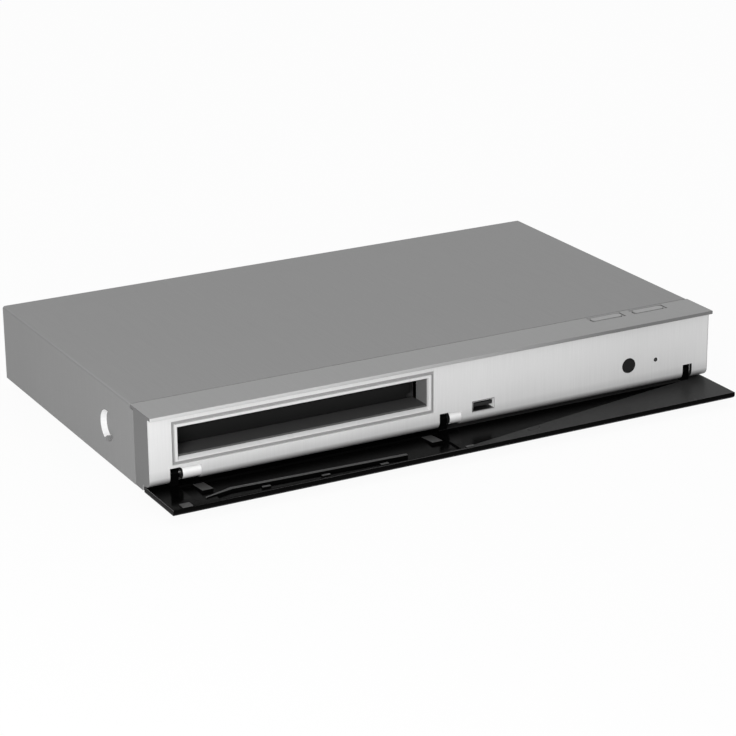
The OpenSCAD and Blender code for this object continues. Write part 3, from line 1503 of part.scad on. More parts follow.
module lan_socket() {
    color("#7d8083") socket_block(lan_x + fit_gap / 2, lan_w, lan_d, lan_h, lan_port_w, lan_port_h, lan_port_d);
}

module optical_socket() {
    x = optical_x + fit_gap / 2 + optical_w / 2;
    z = board_top_z + (optical_h + optical_port) / 2 - shutter_t;
    color("#1a1a1c") difference() {
        socket_block(optical_x + fit_gap / 2, optical_w, optical_d, optical_h, optical_port, optical_port, optical_port_d);
        rod_x(x - optical_port / 2 - shutter_t, x + optical_port / 2 + shutter_t, back_y - shutter_in, z,
            shutter_pin_d + 2 * pin_clearance);
    }
}

module optical_shutter() {
    x = optical_x + fit_gap / 2 + optical_w / 2;
    z = board_top_z + (optical_h + optical_port) / 2 - shutter_t;
    y = back_y - shutter_in;
    hw = optical_port / 2 - fit_gap;
    color("#2a2a2c") {
        span([x - hw, y - shutter_t / 2, z - optical_port + shutter_t + shutter_len_gap], [x + hw, y + shutter_t / 2, z]);
        rod_x(x - optical_port / 2 - shutter_t + pin_clearance, x + optical_port / 2 + shutter_t - pin_clearance, y, z,
            shutter_pin_d);
    }
}

module mains_inlet() {
    color("#1c1c1e") socket_block(inlet_x + fit_gap / 2, inlet_w, inlet_d, inlet_h, inlet_port_w, inlet_port_h, inlet_port_d);
}

module mains_pins() {
    color("#c9c2a6") for (s = [-1, 1])
        rod_y(back_y - inlet_port_d, back_y - inlet_port_d + inlet_pin_len, inlet_x + fit_gap / 2 + inlet_w / 2
            + s * inlet_pin_pitch / 2, board_top_z + inlet_h / 2, inlet_pin_d);
}

module ribbon_cable() {
    y1 = front_board_y + board_t + ribbon_socket_d;
    y2 = main_y1 + post_in;
    z2 = board_top_z + ribbon_socket_h / 2;
    bend = ribbon_socket_d;
    color("#d9dadb") along_x(ribbon_x - ribbon_w / 2, ribbon_x + ribbon_w / 2)
        polygon([[y1, ribbon_z], [y1 + bend, ribbon_z], [y2 - bend, z2], [y2, z2], [y2, z2 + ribbon_t],
            [y2 - bend + ribbon_t, z2 + ribbon_t], [y1 + bend + ribbon_t, ribbon_z + ribbon_t], [y1, ribbon_z + ribbon_t]]);
}

top_cover();
bottom_chassis();
rear_panel();
front_moulding();
fascia();
hinge_bosses();
hinge_pins();
tray_opening_frame();
mouth_tunnel();
receiver_window();
lamp_lens();
front_usb_shell();
front_usb_tongue();
front_board();
key_board();
tact_switches();
power_key();
open_key();
rubber_feet();
rear_screws();
chassis_screws();
door_outer_panel();
door_inner_frame();
door_striker();
disc_tray();
tray_front();
loader_chassis();
clamp_bridge();
clamper();
clamper_magnet();
rubber_dampers();
loading_motor();
motor_pulley();
drive_belt();
pulley_gear();
tray_drive_gear();
cam_slider();
traverse_frame();
guide_rods();
sled_motor();
lead_screw();
pickup_sled();
objective_lens();
spindle_motor();
turntable();
main_board();
main_chip();
heatsink();
power_board();
transformer();
capacitors();
mains_inlet();
mains_pins();
hdmi_socket();
hdmi_tongue();
lan_socket();
optical_socket();
optical_shutter();
ribbon_cable();
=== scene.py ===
"""Looks of a slim disc player with its drop-down front door open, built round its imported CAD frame.

Each sub-assembly is a class with its sizes as fields; each finish is a frozen dataclass. The main function
builds them in order. Everything is in metres, in the frame of the CAD, and nothing else is read from disk.
"""
import json
import logging
import math
from dataclasses import dataclass, field
from enum import Enum
from typing import Callable, ClassVar, Sequence

import bpy
from mathutils import Matrix, Vector

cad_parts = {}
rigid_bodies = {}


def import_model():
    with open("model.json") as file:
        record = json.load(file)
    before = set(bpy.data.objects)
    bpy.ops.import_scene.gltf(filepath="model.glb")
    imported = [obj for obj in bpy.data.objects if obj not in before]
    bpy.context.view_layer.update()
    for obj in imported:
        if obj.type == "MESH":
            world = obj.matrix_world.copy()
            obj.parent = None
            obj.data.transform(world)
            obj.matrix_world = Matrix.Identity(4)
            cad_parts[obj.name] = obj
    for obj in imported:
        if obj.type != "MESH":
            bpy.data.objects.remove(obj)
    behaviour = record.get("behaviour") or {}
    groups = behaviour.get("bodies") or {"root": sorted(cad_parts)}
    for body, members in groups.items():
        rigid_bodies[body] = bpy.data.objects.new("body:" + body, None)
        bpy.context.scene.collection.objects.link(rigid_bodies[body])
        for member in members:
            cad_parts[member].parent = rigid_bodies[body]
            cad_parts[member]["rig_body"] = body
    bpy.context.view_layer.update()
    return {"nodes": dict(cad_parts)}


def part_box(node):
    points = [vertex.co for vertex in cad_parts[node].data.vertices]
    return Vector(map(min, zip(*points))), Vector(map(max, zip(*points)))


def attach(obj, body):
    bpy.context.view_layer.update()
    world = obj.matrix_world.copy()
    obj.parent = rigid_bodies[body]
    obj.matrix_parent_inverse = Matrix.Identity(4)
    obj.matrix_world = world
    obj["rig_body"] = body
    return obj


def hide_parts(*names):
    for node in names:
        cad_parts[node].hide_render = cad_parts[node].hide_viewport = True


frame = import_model()
LOG = logging.getLogger("disc_player")
MM = 0.001

Colour = tuple[float, float, float]
Point = tuple[float, float, float]
Span = tuple[float, float]
Piece = bpy.types.Object
Socket = bpy.types.NodeSocket
FaceTest = Callable[[bpy.types.MeshPolygon], bool]

WHITE = (1.0, 1.0, 1.0)
FLAT = (1, 1, 0)
# How far a face's normal reaches along an axis: squarely, mostly, half-way, partly or slightly.
SQUARELY = 0.9
MOSTLY = 0.75
HALFWAY = 0.5
PARTLY = 0.3
SLIGHTLY = 0.2
# In a softened copy vertices nearer than this in metres are one, and so are faces within this angle.
WELD = 0.000002
FLATNESS = math.radians(0.4)
# Edges sharper than this are rounded, and the shading is smooth over the others.
SHARP = math.radians(35.0)
# Turns in degrees of a drum that stands up and of one that lies along Y, and the number of its sides.
UPRIGHT = (0, 0, 0)
LYING = (-90, 0, 0)
SIDES = 48
# Octaves of a noise, and the least roughness of any finish.
OCTAVES = 3.0
SMOOTHEST = 0.02


def grey(level: float, warm: float = 0.0) -> Colour:
    """Turn a plain eight-bit display grey into a linear colour.

    Args:
        level: display level, 0 to 255.
        warm: share by which red rises and blue falls.

    Returns:
        The linear red, green and blue.
    """
    share = level / 255
    linear = share / 12.92 if share <= 0.04045 else ((share + 0.055) / 1.055) ** 2.4
    return linear * (1 + warm), linear, linear * (1 - warm)


class Run(Enum):
    """The way that the fine lines of a brushed or hairline surface run."""

    ALONG_X = (0.02, 1.0, 1.0)
    ALONG_Y = (1.0, 0.02, 1.0)
    ALONG_Z = (1.0, 1.0, 0.02)
    NONE = (1.0, 1.0, 1.0)


class Graph:
    """The node tree of a material or world, with short calls to add, set and join nodes."""

    def __init__(self, block: bpy.types.ID) -> None:
        """Open the tree.

        Args:
            block: the new material or world.
        """
        block.use_nodes = True
        self.block = block
        self.nodes = block.node_tree.nodes
        self.links = block.node_tree.links

    def feed(self, slot: Socket, value: object) -> None:
        """Link an output to an input, or set the input's plain value.

        Args:
            slot: the input.
            value: an output, a number, a vector or a linear colour.
        """
        if isinstance(value, bpy.types.NodeSocket):
            self.links.new(value, slot)
        else:
            slot.default_value = (*value, 1.0) if slot.type == "RGBA" else value

    def fill(self, node: bpy.types.Node, **values: object) -> bpy.types.Node:
        """Set a node up.

        Args:
            node: the node.
            **values: settings by attribute name, or what feeds a socket, by its name with _ for a space.

        Returns:
            The node.
        """
        for key, value in values.items():
            if hasattr(node, key):
                setattr(node, key, value)
            else:
                self.feed(node.inputs[key.replace("_", " ")], value)
        return node

    def add(self, kind: str, *sources: object, **values: object) -> bpy.types.Node:
        """Add a node.

        Args:
            kind: Blender's name of the node type.
            *sources: what feeds its first sockets, in order.
            **values: the rest, as for fill.

        Returns:
            The new node.
        """
        node = self.fill(self.nodes.new(kind), **values)
        for slot, value in zip(node.inputs, sources):
            self.feed(slot, value)
        return node

    def place(self, stretch: Sequence[float], scale: float) -> Socket:
        """Object coordinates, stretched by axis.

        Args:
            stretch: factor on each axis.
            scale: factor on all three.

        Returns:
            The vector output.
        """
        spot = self.add("ShaderNodeTexCoord").outputs["Object"]
        return self.add("ShaderNodeMapping", spot, Scale=tuple(s * scale for s in stretch)).outputs[0]

    def noise(self, where: Socket, rough: float) -> Socket:
        """Noise at scale one over the given vector.

        Args:
            where: vector output.
            rough: weight of the finer octaves.

        Returns:
            The factor output.
        """
        return self.add("ShaderNodeTexNoise", where, Scale=1.0, Detail=OCTAVES, Roughness=rough).outputs[0]

    def ramp(self, value: Socket, low: float, high: float, least: float = 0.0, most: float = 1.0) -> Socket:
        """Map a range of a value to another range, clamped.

        Args:
            value: output to map.
            low: value in that gives the least.
            high: value in that gives the most.
            least: value out at low.
            most: value out at high.

        Returns:
            The result output.
        """
        return self.add("ShaderNodeMapRange", value, low, high, least, most).outputs[0]

    def mix(self, factor: object, one: object, two: object, blend: str = "MIX") -> Socket:
        """Blend two colours.

        Args:
            factor: share of the second, as an output or a number.
            one: first colour, plain or an output.
            two: second colour, plain or an output.
            blend: Blender's name of the way they blend.

        Returns:
            The colour output.
        """
        node = self.add("ShaderNodeMix", factor, data_type="RGBA", blend_type=blend)
        # A colour mix takes its colours at 6 and 7 and gives its result at 2.
        self.feed(node.inputs[6], one)
        self.feed(node.inputs[7], two)
        return node.outputs[2]

    def bump(self, height: Socket, strength: float, depth: float) -> Socket:
        """Turn a height into a normal.

        Args:
            height: height output.
            strength: share of the effect.
            depth: distance in metres.

        Returns:
            The normal output.
        """
        return self.add("ShaderNodeBump", Strength=strength, Distance=depth, Height=height).outputs[0]


@dataclass(frozen=True)
class Finish:
    """A plain moulded or coated surface: fine grain over faint clouds, which tint it and vary its roughness.

    Attributes:
        name: name of the material.
        colour: linear base colour.
        roughness: mean roughness.
        metallic: share of metal.
        grain: size of the finest grain in metres.
        relief: depth of that grain in metres.
        spread: share by which the colour varies over the surface.
        run: the way that fine lines run.
        specular: strength of the reflection that isn't metal's.
        cloud_scale: clouds to a metre.
        cloud: noise levels where a cloud starts and where it is full.
        shares: shares of the grain and of the clouds in the tint.
        tone: levels of that mixture with the darkest and the lightest tint.
        sheen: what the roughness gains between clouds and in one.
        bump_share: strength of the relief.
    """

    name: str
    colour: Colour
    roughness: float = 0.45
    metallic: float = 0.0
    grain: float = 0.0004
    relief: float = 0.00001
    spread: float = 0.06
    run: Run = Run.NONE
    specular: float = 0.5
    cloud_scale: float = 18.0
    cloud: Span = (0.3, 0.7)
    shares: Span = (0.65, 0.35)
    tone: Span = (0.25, 0.75)
    sheen: Span = (-0.04, 0.05)
    bump_share: float = 0.6

    def tint(self, share: float) -> Colour:
        """The base colour times a share."""
        return tuple(min(1.0, c * share) for c in self.colour)

    def shaded(self, graph: Graph, colour: Socket) -> Socket:
        """The colour as it reaches the shader; plain finishes leave it as it is."""
        return colour

    def make(self) -> bpy.types.Material:
        """Build the material.

        Returns:
            The Blender material.
        """
        graph = Graph(bpy.data.materials.new(self.name))
        fine = graph.noise(graph.place(self.run.value, 1 / self.grain), rough=0.55)
        cloud = graph.noise(graph.place(Run.NONE.value, self.cloud_scale), rough=0.5)
        faint = graph.ramp(cloud, *self.cloud, 0.0, self.shares[1])
        mixed = graph.add("ShaderNodeMath", fine, self.shares[0], faint, operation="MULTIPLY_ADD")
        tone = graph.ramp(mixed.outputs[0], *self.tone)
        colour = graph.mix(tone, self.tint(1 - self.spread), self.tint(1 + self.spread))
        least, most = (self.roughness + gain for gain in self.sheen)
        graph.fill(graph.nodes["Principled BSDF"], Metallic=self.metallic, Specular_IOR_Level=self.specular,
                   Base_Color=self.shaded(graph, colour),
                   Roughness=graph.ramp(cloud, *self.cloud, max(SMOOTHEST, least), most),
                   Normal=graph.bump(fine, self.bump_share, self.relief))
        return graph.block


@dataclass(frozen=True)
class BrushedMetal(Finish):
    """Bare or plated sheet metal with fine lines and soft smudges."""

    roughness: float = 0.34
    metallic: float = 1.0
    grain: float = 0.00025
    relief: float = 0.000006
    spread: float = 0.08


@dataclass(frozen=True)
class Gloss(Finish):
    """A polished moulding: nearly smooth, with faint waviness and settled dust."""

    roughness: float = 0.12
    grain: float = 0.0012
    relief: float = 0.000002
    spread: float = 0.1


@dataclass(frozen=True)
class Paint(Finish):
    """Sprayed paint with fine, shallow grain."""

    grain: float = 0.0006
    relief: float = 0.000008
    spread: float = 0.04


@dataclass(frozen=True)
class PaintedShadeFinish(Paint):
    """Satin paint with painted shade: its colour darkens along one axis, as on the fascia's lower edge, which
    rolls under.

    Attributes:
        axis: axis of the fade.
        low: place in metres on the axis where the colour is darkest.
        high: place in metres on the axis where the steep part ends.
        least: share of the colour that is left at the low end.
        ease: length in metres of the gentle part after the steep one.
        dip: share of the colour where the gentle part starts.
    """

    axis: str = "Z"
    low: float = 0.0
    high: float = 0.01
    least: float = 0.5
    ease: float = 0.004
    dip: float = 1.0

    def shaded(self, graph: Graph, colour: Socket) -> Socket:
        """The colour times a share that grows along the axis: the painted shade.

        Args:
            graph: the material's nodes.
            colour: output of the plain colour.

        Returns:
            The colour output.
        """
        spot = graph.add("ShaderNodeTexCoord").outputs["Object"]
        place = graph.add("ShaderNodeSeparateXYZ", spot).outputs[self.axis]
        steep = (self.low, self.high, self.least)
        gentle = (self.high, self.high + self.ease, self.dip)
        for start, end, share in (steep, gentle):
            colour = graph.mix(1.0, colour, graph.ramp(place, start, end, share), "MULTIPLY")
        return colour


@dataclass(frozen=True)
class BoardFinish(Finish):
    """A circuit board: solder mask with copper runs and rows of tinned pads.

    Attributes:
        copper: colour where copper lies under the mask.
        pad: colour of a tinned pad.
        pitch: spacing of the pads in metres.
        cell: size of the copper's cells, in pitches.
        edge: how far from a cell's middle the copper starts and is full, in cells.
        scatter: how far the pads are off their rows, as a share.
        dot: how far from a pad's middle it ends and is full, in pitches.
    """

    relief: float = 0.00005
    bump_share: float = 0.5
    copper: Colour = (0.06, 0.2, 0.09)
    pad: Colour = (0.6, 0.6, 0.58)
    pitch: float = 0.0025
    cell: float = 2.4
    edge: Span = (0.35, 0.42)
    scatter: float = 0.35
    dot: Span = (0.16, 0.13)

    def make(self) -> bpy.types.Material:
        """Build the material.

        Returns:
            The Blender material.
        """
        graph = Graph(bpy.data.materials.new(self.name))
        cells = graph.add("ShaderNodeTexVoronoi", graph.place(FLAT, 1 / (self.pitch * self.cell)),
                          distance="MANHATTAN", Scale=1.0)
        dots = graph.add("ShaderNodeTexVoronoi", graph.place(FLAT, 1 / self.pitch), Scale=1.0,
                         Randomness=self.scatter)
        pads = graph.ramp(dots.outputs["Distance"], *self.dot)
        mask = graph.mix(graph.ramp(cells.outputs["Distance"], *self.edge), self.colour, self.copper)
        graph.fill(graph.nodes["Principled BSDF"], Base_Color=graph.mix(pads, mask, self.pad),
                   Roughness=self.roughness, Normal=graph.bump(pads, self.bump_share, self.relief))
        return graph.block


@dataclass(frozen=True)
class LensFinish(Finish):
    """A coated glass lens or a clear light guide.

    Attributes:
        through: share of the light that passes.
    """

    through: float = 0.4

    def make(self) -> bpy.types.Material:
        """Build the material.

        Returns:
            The Blender material.
        """
        material = super().make()
        material.node_tree.nodes["Principled BSDF"].inputs["Transmission Weight"].default_value = self.through
        return material


COVER = Paint("cover_paint", grey(136), 0.5, relief=0.000012, spread=0.055, run=Run.ALONG_Y)
# The cover's sides take a darker grey than its top, though one sheet: painted shade. The rear panel shares
# that grey.
COVER_SIDE_PAINTED_SHADE = Paint("cover_side_painted_shade", grey(122), 0.5, relief=0.000012, spread=0.05, run=Run.ALONG_Z)
MOULDING = Paint("moulding_paint", grey(148), run=Run.ALONG_Y)
# The moulding's sides take a darker grey than its top strip, though one moulding: painted shade.
MOULDING_SIDE_PAINTED_SHADE = Paint("cheek_painted_shade", grey(92), 0.5, run=Run.ALONG_Z)
# The fascia's silver darkens towards its lower edge, which faces the dark door: painted shade.
SILVER_WITH_PAINTED_SHADE = PaintedShadeFinish("fascia_silver", grey(214), 0.42, spread=0.05, run=Run.ALONG_Z,
                     low=8.4 * MM, high=12.6 * MM, least=0.07, dip=0.84)
# The lip's front takes a lighter grey than the moulding, a painted highlight, and darkens to the right as
# painted shade.
LIP_FRONT_PAINTED_LIGHT = PaintedShadeFinish("lip_front_painted_light", grey(196), 0.4, spread=0.03, axis="X",
                        low=100 * MM, high=-40 * MM, least=0.34, ease=-120 * MM, dip=0.8)
# The hinge bosses' bright silver darkens towards the bottom: painted shade.
BRIGHT_SILVER_PAINTED_SHADE = PaintedShadeFinish("bright_silver_painted_shade", grey(240), 0.2, grain=0.0012, relief=0.000002, spread=0.02,
                     low=9.4 * MM, high=14.2 * MM, least=0.4)
RING_SILVER = Gloss("ring_silver", grey(212), 0.28, spread=0.03)
# A darker grey for the floor of the ring's groove: painted shade.
RING_SHADE = Finish("ring_groove_painted_shade", grey(146), 0.4, spread=0.04)
# The tunnel's side walls take a lighter grey than its floor: painted light.
TUNNEL_SIDE_PAINTED_LIGHT = Finish("tunnel_side_painted_light", grey(112), 0.5)
# A near-white gloss for the dimples' forward walls and the socket shell's inner right wall: painted
# highlight.
PAINTED_HIGHLIGHT_SILVER = Gloss("painted_highlight_silver", grey(238), 0.3, spread=0.02)
KEY = Finish("key_paint", grey(156), 0.4, grain=0.0005, relief=0.000004, spread=0.03)
DOOR_GLOSS = Gloss("door_gloss", grey(5), 0.16, specular=0.02)
# The door's plain right half is rougher and takes a lighter grey than the pocket: painted reflection.
DOOR_SATIN_PAINTED_REFLECTION = Gloss("door_satin_painted_reflection", grey(52), 0.3, specular=0.04)
DOOR_SHELL = Gloss("door_shell", grey(10), 0.2, specular=0.06)
# The door's ribs, tabs and wedges take a lighter grey: painted highlight.
DOOR_DETAIL_PAINTED_HIGHLIGHT = Finish("door_detail_painted_highlight", grey(62), 0.35, specular=0.3)
# The door's rounded left edge takes a light grey: painted highlight.
DOOR_EDGE_PAINTED_HIGHLIGHT = Finish("door_edge_painted_highlight", grey(104), 0.35, specular=0.3)
STRIKER = BrushedMetal("striker_plate", grey(104), 0.4)
WINDOW = Gloss("window_black", grey(8), 0.08, spread=0.02, specular=0.15)
LAMP = LensFinish("lamp_lens", grey(34), 0.2)
TRAY = Finish("tray_plastic", grey(30), 0.55, grain=0.0002, relief=0.000015, spread=0.08, specular=0.3)
TRAY_FACE = Finish("tray_face", grey(18), 0.5, grain=0.0003, spread=0.08, specular=0.15)
TUNNEL = Finish("tunnel_plastic", grey(80), 0.6, grain=0.0003, relief=0.00002, spread=0.08, specular=0.3)
LOADER = Finish("loader_plastic", grey(52), 0.6, grain=0.0003, relief=0.00002, spread=0.1)
GEAR = Finish("acetal", grey(216, 0.04), 0.4, grain=0.0005, relief=0.000004, spread=0.03)
RUBBER = Finish("rubber", grey(26), 0.8, grain=0.0002, relief=0.00003, spread=0.15)
ZINC = BrushedMetal("zinc_sheet", grey(196), 0.42, grain=0.0012, spread=0.1, run=Run.ALONG_X)
SCREW = BrushedMetal("screw_steel", grey(110), 0.35)
NICKEL = BrushedMetal("nickel_shell", grey(205), 0.28, grain=0.0003, spread=0.05)
GOLD = BrushedMetal("gilt_contact", (0.72, 0.5, 0.2), 0.25, grain=0.0003, spread=0.05)
ROD = BrushedMetal("polished_steel", grey(215), 0.14, grain=0.0003, spread=0.04, run=Run.ALONG_Y)
BLACK = Finish("socket_plastic", grey(22), 0.5, grain=0.0002, spread=0.1)
BOARD = BoardFinish("green_board", (0.012, 0.075, 0.03), 0.35, copper=(0.02, 0.13, 0.05))
TAN_BOARD = BoardFinish("tan_board", (0.42, 0.3, 0.13), 0.5, copper=(0.46, 0.34, 0.16), pitch=0.004)
CHIP = Finish("chip_case", grey(34), 0.5, grain=0.00015, spread=0.1)
HEATSINK = BrushedMetal("anodised", grey(74), 0.45, grain=0.0008, run=Run.ALONG_Y)
MOTOR = BrushedMetal("motor_can", grey(178), 0.32, grain=0.0005)
MAGNET = Finish("sintered_ring", grey(92), 0.5, 0.6, grain=0.0004, relief=0.00003)
TRAVERSE = Finish("coated_steel", grey(70), 0.4, 0.3, grain=0.0003)
BRASS = BrushedMetal("brass", (0.62, 0.42, 0.17), 0.3)
LENS = LensFinish("coated_glass", (0.2, 0.16, 0.4), 0.05)
TAPE = Finish("yellow_tape", (0.55, 0.33, 0.03), 0.4, grain=0.002, relief=0.00002)
SLEEVE = Finish("shrink_sleeve", (0.015, 0.022, 0.045), 0.35, grain=0.001, relief=0.000005)
RIBBON = Finish("ribbon", grey(222), 0.4, grain=0.0008, relief=0.00002, spread=0.1, run=Run.ALONG_Y)

Rows = tuple[tuple[str, Finish, float], ...]


def deselect() -> None:
    """Leave edit mode and deselect everything, because the loaded nodes come selected."""
    if bpy.context.object is not None and bpy.context.object.mode != "OBJECT":
        bpy.ops.object.mode_set(mode="OBJECT")
    bpy.ops.object.select_all(action="DESELECT")


def activate(piece: Piece) -> None:
    """Select one object alone and make it active.

    Args:
        piece: the object.
    """
    deselect()
    piece.select_set(True)
    bpy.context.view_layer.objects.active = piece


def apply_place(piece: Piece) -> None:
    """Move the object's place into its mesh, so that the object sits at the origin."""
    activate(piece)
    bpy.ops.object.transform_apply(location=True, rotation=True, scale=True)


def finish_modifiers(piece: Piece) -> None:
    """Apply every modifier of a piece in order.

    Args:
        piece: the mesh object.
    """
    activate(piece)
    for modifier in list(piece.modifiers):
        bpy.ops.object.modifier_apply(modifier=modifier.name)


def pick_faces(piece: Piece, wanted: FaceTest) -> None:
    """Select faces in code and enter edit mode on them.

    Args:
        piece: the mesh object, at the origin.
        wanted: tells for a face whether it is selected.
    """
    activate(piece)
    bpy.ops.object.mode_set(mode="EDIT")
    bpy.ops.mesh.select_mode(type="FACE")
    bpy.ops.mesh.select_all(action="DESELECT")
    leave_edit()
    for face in piece.data.polygons:
        face.select = wanted(face)
    bpy.ops.object.mode_set(mode="EDIT")


def leave_edit() -> None:
    """Go back to object mode."""
    bpy.ops.object.mode_set(mode="OBJECT")


def pull(piece: Piece, way: Point, *steps: Point) -> None:
    """Extrude the faces that look along a direction, once for each step.

    Args:
        piece: the mesh object, at the origin.
        way: the direction.
        *steps: shift of each extrusion in metres.
    """
    pick_faces(piece, lambda face: face.normal.dot(Vector(way)) > SQUARELY)
    for step in steps:
        bpy.ops.mesh.extrude_region_move(TRANSFORM_OT_translate={"value": step})
    leave_edit()


def block(name: str, low: Point, high: Point) -> Piece:
    """Add a box between two corners, as the start of a piece.

    Args:
        name: name of the piece.
        low: lowest corner in metres.
        high: highest corner in metres.

    Returns:
        The piece, with its place in its mesh.
    """
    deselect()
    middle = tuple((a + b) / 2 for a, b in zip(low, high))
    bpy.ops.mesh.primitive_cube_add(size=1.0, location=middle)
    piece = bpy.context.object
    piece.name = name
    piece.scale = tuple(b - a for a, b in zip(low, high))
    apply_place(piece)
    return piece


def disc(name: str, base: Point, turn: Point, diameter: float, height: float) -> Piece:
    """Add an upright drum and turn it, as the start of a round piece.

    Args:
        name: name of the piece.
        base: centre of its lower face in metres.
        turn: turn about each axis in degrees, made about that centre.
        diameter: its diameter in metres.
        height: its height in metres.

    Returns:
        The piece, with its place in its mesh.
    """
    deselect()
    bpy.ops.mesh.primitive_cylinder_add(vertices=SIDES, radius=diameter / 2, depth=height,
                                        location=(0, 0, height / 2))
    piece = bpy.context.object
    piece.name = name
    apply_place(piece)
    piece.rotation_euler = tuple(math.radians(angle) for angle in turn)
    piece.location = base
    apply_place(piece)
    return piece


def merge(name: str, pieces: Sequence[Piece]) -> Piece:
    """Join several pieces into one.

    Args:
        name: name of the joined piece.
        pieces: what is joined.

    Returns:
        The joined piece.
    """
    deselect()
    for piece in pieces:
        piece.select_set(True)
    bpy.context.view_layer.objects.active = pieces[0]
    bpy.ops.object.join()
    joined = bpy.context.object
    joined.name = name
    return joined


def repeat(piece: Piece, step: Point, count: int) -> list[Piece]:
    """Copy a piece along a line, each copy with its own mesh.

    Args:
        piece: the first piece.
        step: shift from each to the next in metres.
        count: how many there are in all.

    Returns:
        All of them, the first included.
    """
    pieces = [piece]
    for number in range(1, count):
        activate(piece)
        bpy.ops.object.duplicate(linked=False)
        copy = bpy.context.object
        copy.location = tuple(part * number for part in step)
        apply_place(copy)
        pieces.append(copy)
    return pieces


def cut(piece: Piece, tool: Piece) -> None:
    """Take one shape out of another and delete the tool.

    Args:
        piece: the mesh object that is cut.
        tool: the shape that is taken out.
    """
    modifier = piece.modifiers.new("cut", "BOOLEAN")
    modifier.operation = "DIFFERENCE"
    modifier.solver = "EXACT"
    modifier.object = tool
    finish_modifiers(piece)
    bpy.data.objects.remove(tool, do_unlink=True)


def round_edges(piece: Piece, width: float, steps: int = 2) -> None:
    """Round a piece's sharp edges and shade it smooth between the edges that stay.

    Args:
        piece: the mesh object.
        width: width of the rounding in metres.
        steps: segments across it.
    """
    bevel = piece.modifiers.new("rounding", "BEVEL")
    bevel.width = width
    bevel.segments = steps
    bevel.limit_method = "ANGLE"
    bevel.angle_limit = SHARP
    bevel.use_clamp_overlap = False
    finish_modifiers(piece)
    activate(piece)
    bpy.ops.object.shade_smooth_by_angle(angle=SHARP)
    weighted = piece.modifiers.new("flat_faces", "WEIGHTED_NORMAL")
    weighted.mode = "FACE_AREA"
    weighted.keep_sharp = True
    finish_modifiers(piece)


@dataclass
class SubAssembly:
    """What every sub-assembly can do: finish CAD nodes, and soften or add pieces of its own.

    Attributes:
        materials: every material that has been built, by name.
        pieces: names of the finished pieces.
    """

    materials: ClassVar[dict[str, bpy.types.Material]] = {}
    pieces: list[str] = field(default_factory=list)

    def material(self, finish: Finish) -> bpy.types.Material:
        """The finish's material, built at its first use and shared by all sub-assemblies.

        Args:
            finish: the finish.

        Returns:
            The Blender material.
        """
        if finish.name not in self.materials:
            self.materials[finish.name] = finish.make()
        return self.materials[finish.name]

    def paint(self, piece: Piece, finish: Finish) -> None:
        """Give a piece one material all over."""
        piece.data.materials.clear()
        piece.data.materials.append(self.material(finish))

    def dress(self, finish: Finish, *nodes: str) -> None:
        """Keep CAD nodes as they are, with a better finish.

        Args:
            finish: the finish.
            *nodes: names of the nodes.
        """
        for node in nodes:
            self.paint(frame["nodes"][node], finish)
            self.report(node)

    def report(self, name: str) -> None:
        """Note a finished piece."""
        self.pieces.append(name)
        LOG.info("%s: %s", type(self).__name__, name)

    def soften(self, node: str, finish: Finish, width: float, steps: int = 2) -> Piece:
        """Stand a copy with rounded edges for a CAD node.

        Args:
            node: name of the node.
            finish: its finish.
            width: width of the rounding in metres.
            steps: segments across the rounding.

        Returns:
            The new piece.
        """
        source = frame["nodes"][node]
        piece = bpy.data.objects.new(node + "_soft", source.data.copy())
        bpy.context.scene.collection.objects.link(piece)
        activate(piece)
        bpy.ops.object.mode_set(mode="EDIT")
        bpy.ops.mesh.select_all(action="SELECT")
        bpy.ops.mesh.remove_doubles(threshold=WELD)
        bpy.ops.mesh.dissolve_limited(angle_limit=FLATNESS)
        leave_edit()
        round_edges(piece, width, steps)
        self.settle(piece, finish, node, node)
        return piece

    def soften_rows(self, rows: Rows) -> None:
        """Stand a rounded copy for the node of each row of node, finish and width."""
        for node, finish, width in rows:
            self.soften(node, finish, width)

    def patch(self, piece: Piece, finish: Finish, wanted: FaceTest) -> None:
        """Give some faces of a piece another finish.

        Args:
            piece: a finished piece.
            finish: the other finish.
            wanted: tells for a face whether it takes it.
        """
        piece.data.materials.append(self.material(finish))
        pick_faces(piece, wanted)
        piece.active_material_index = len(piece.data.materials) - 1
        bpy.ops.object.material_slot_assign()
        leave_edit()
        deselect()

    def settle(self, piece: Piece, finish: Finish, like: str, *stands_for: str) -> None:
        """Finish a piece, let it ride on its body and hide the CAD nodes that it replaces.

        Args:
            piece: the piece, in its place.
            finish: its finish.
            like: the CAD node whose body it moves with.
            *stands_for: the CAD nodes that it replaces, if any.
        """
        self.paint(piece, finish)
        apply_place(piece)
        deselect()
        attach(piece, frame["nodes"][like]["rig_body"])
        if stands_for:
            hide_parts(*stands_for)
        self.report(piece.name)


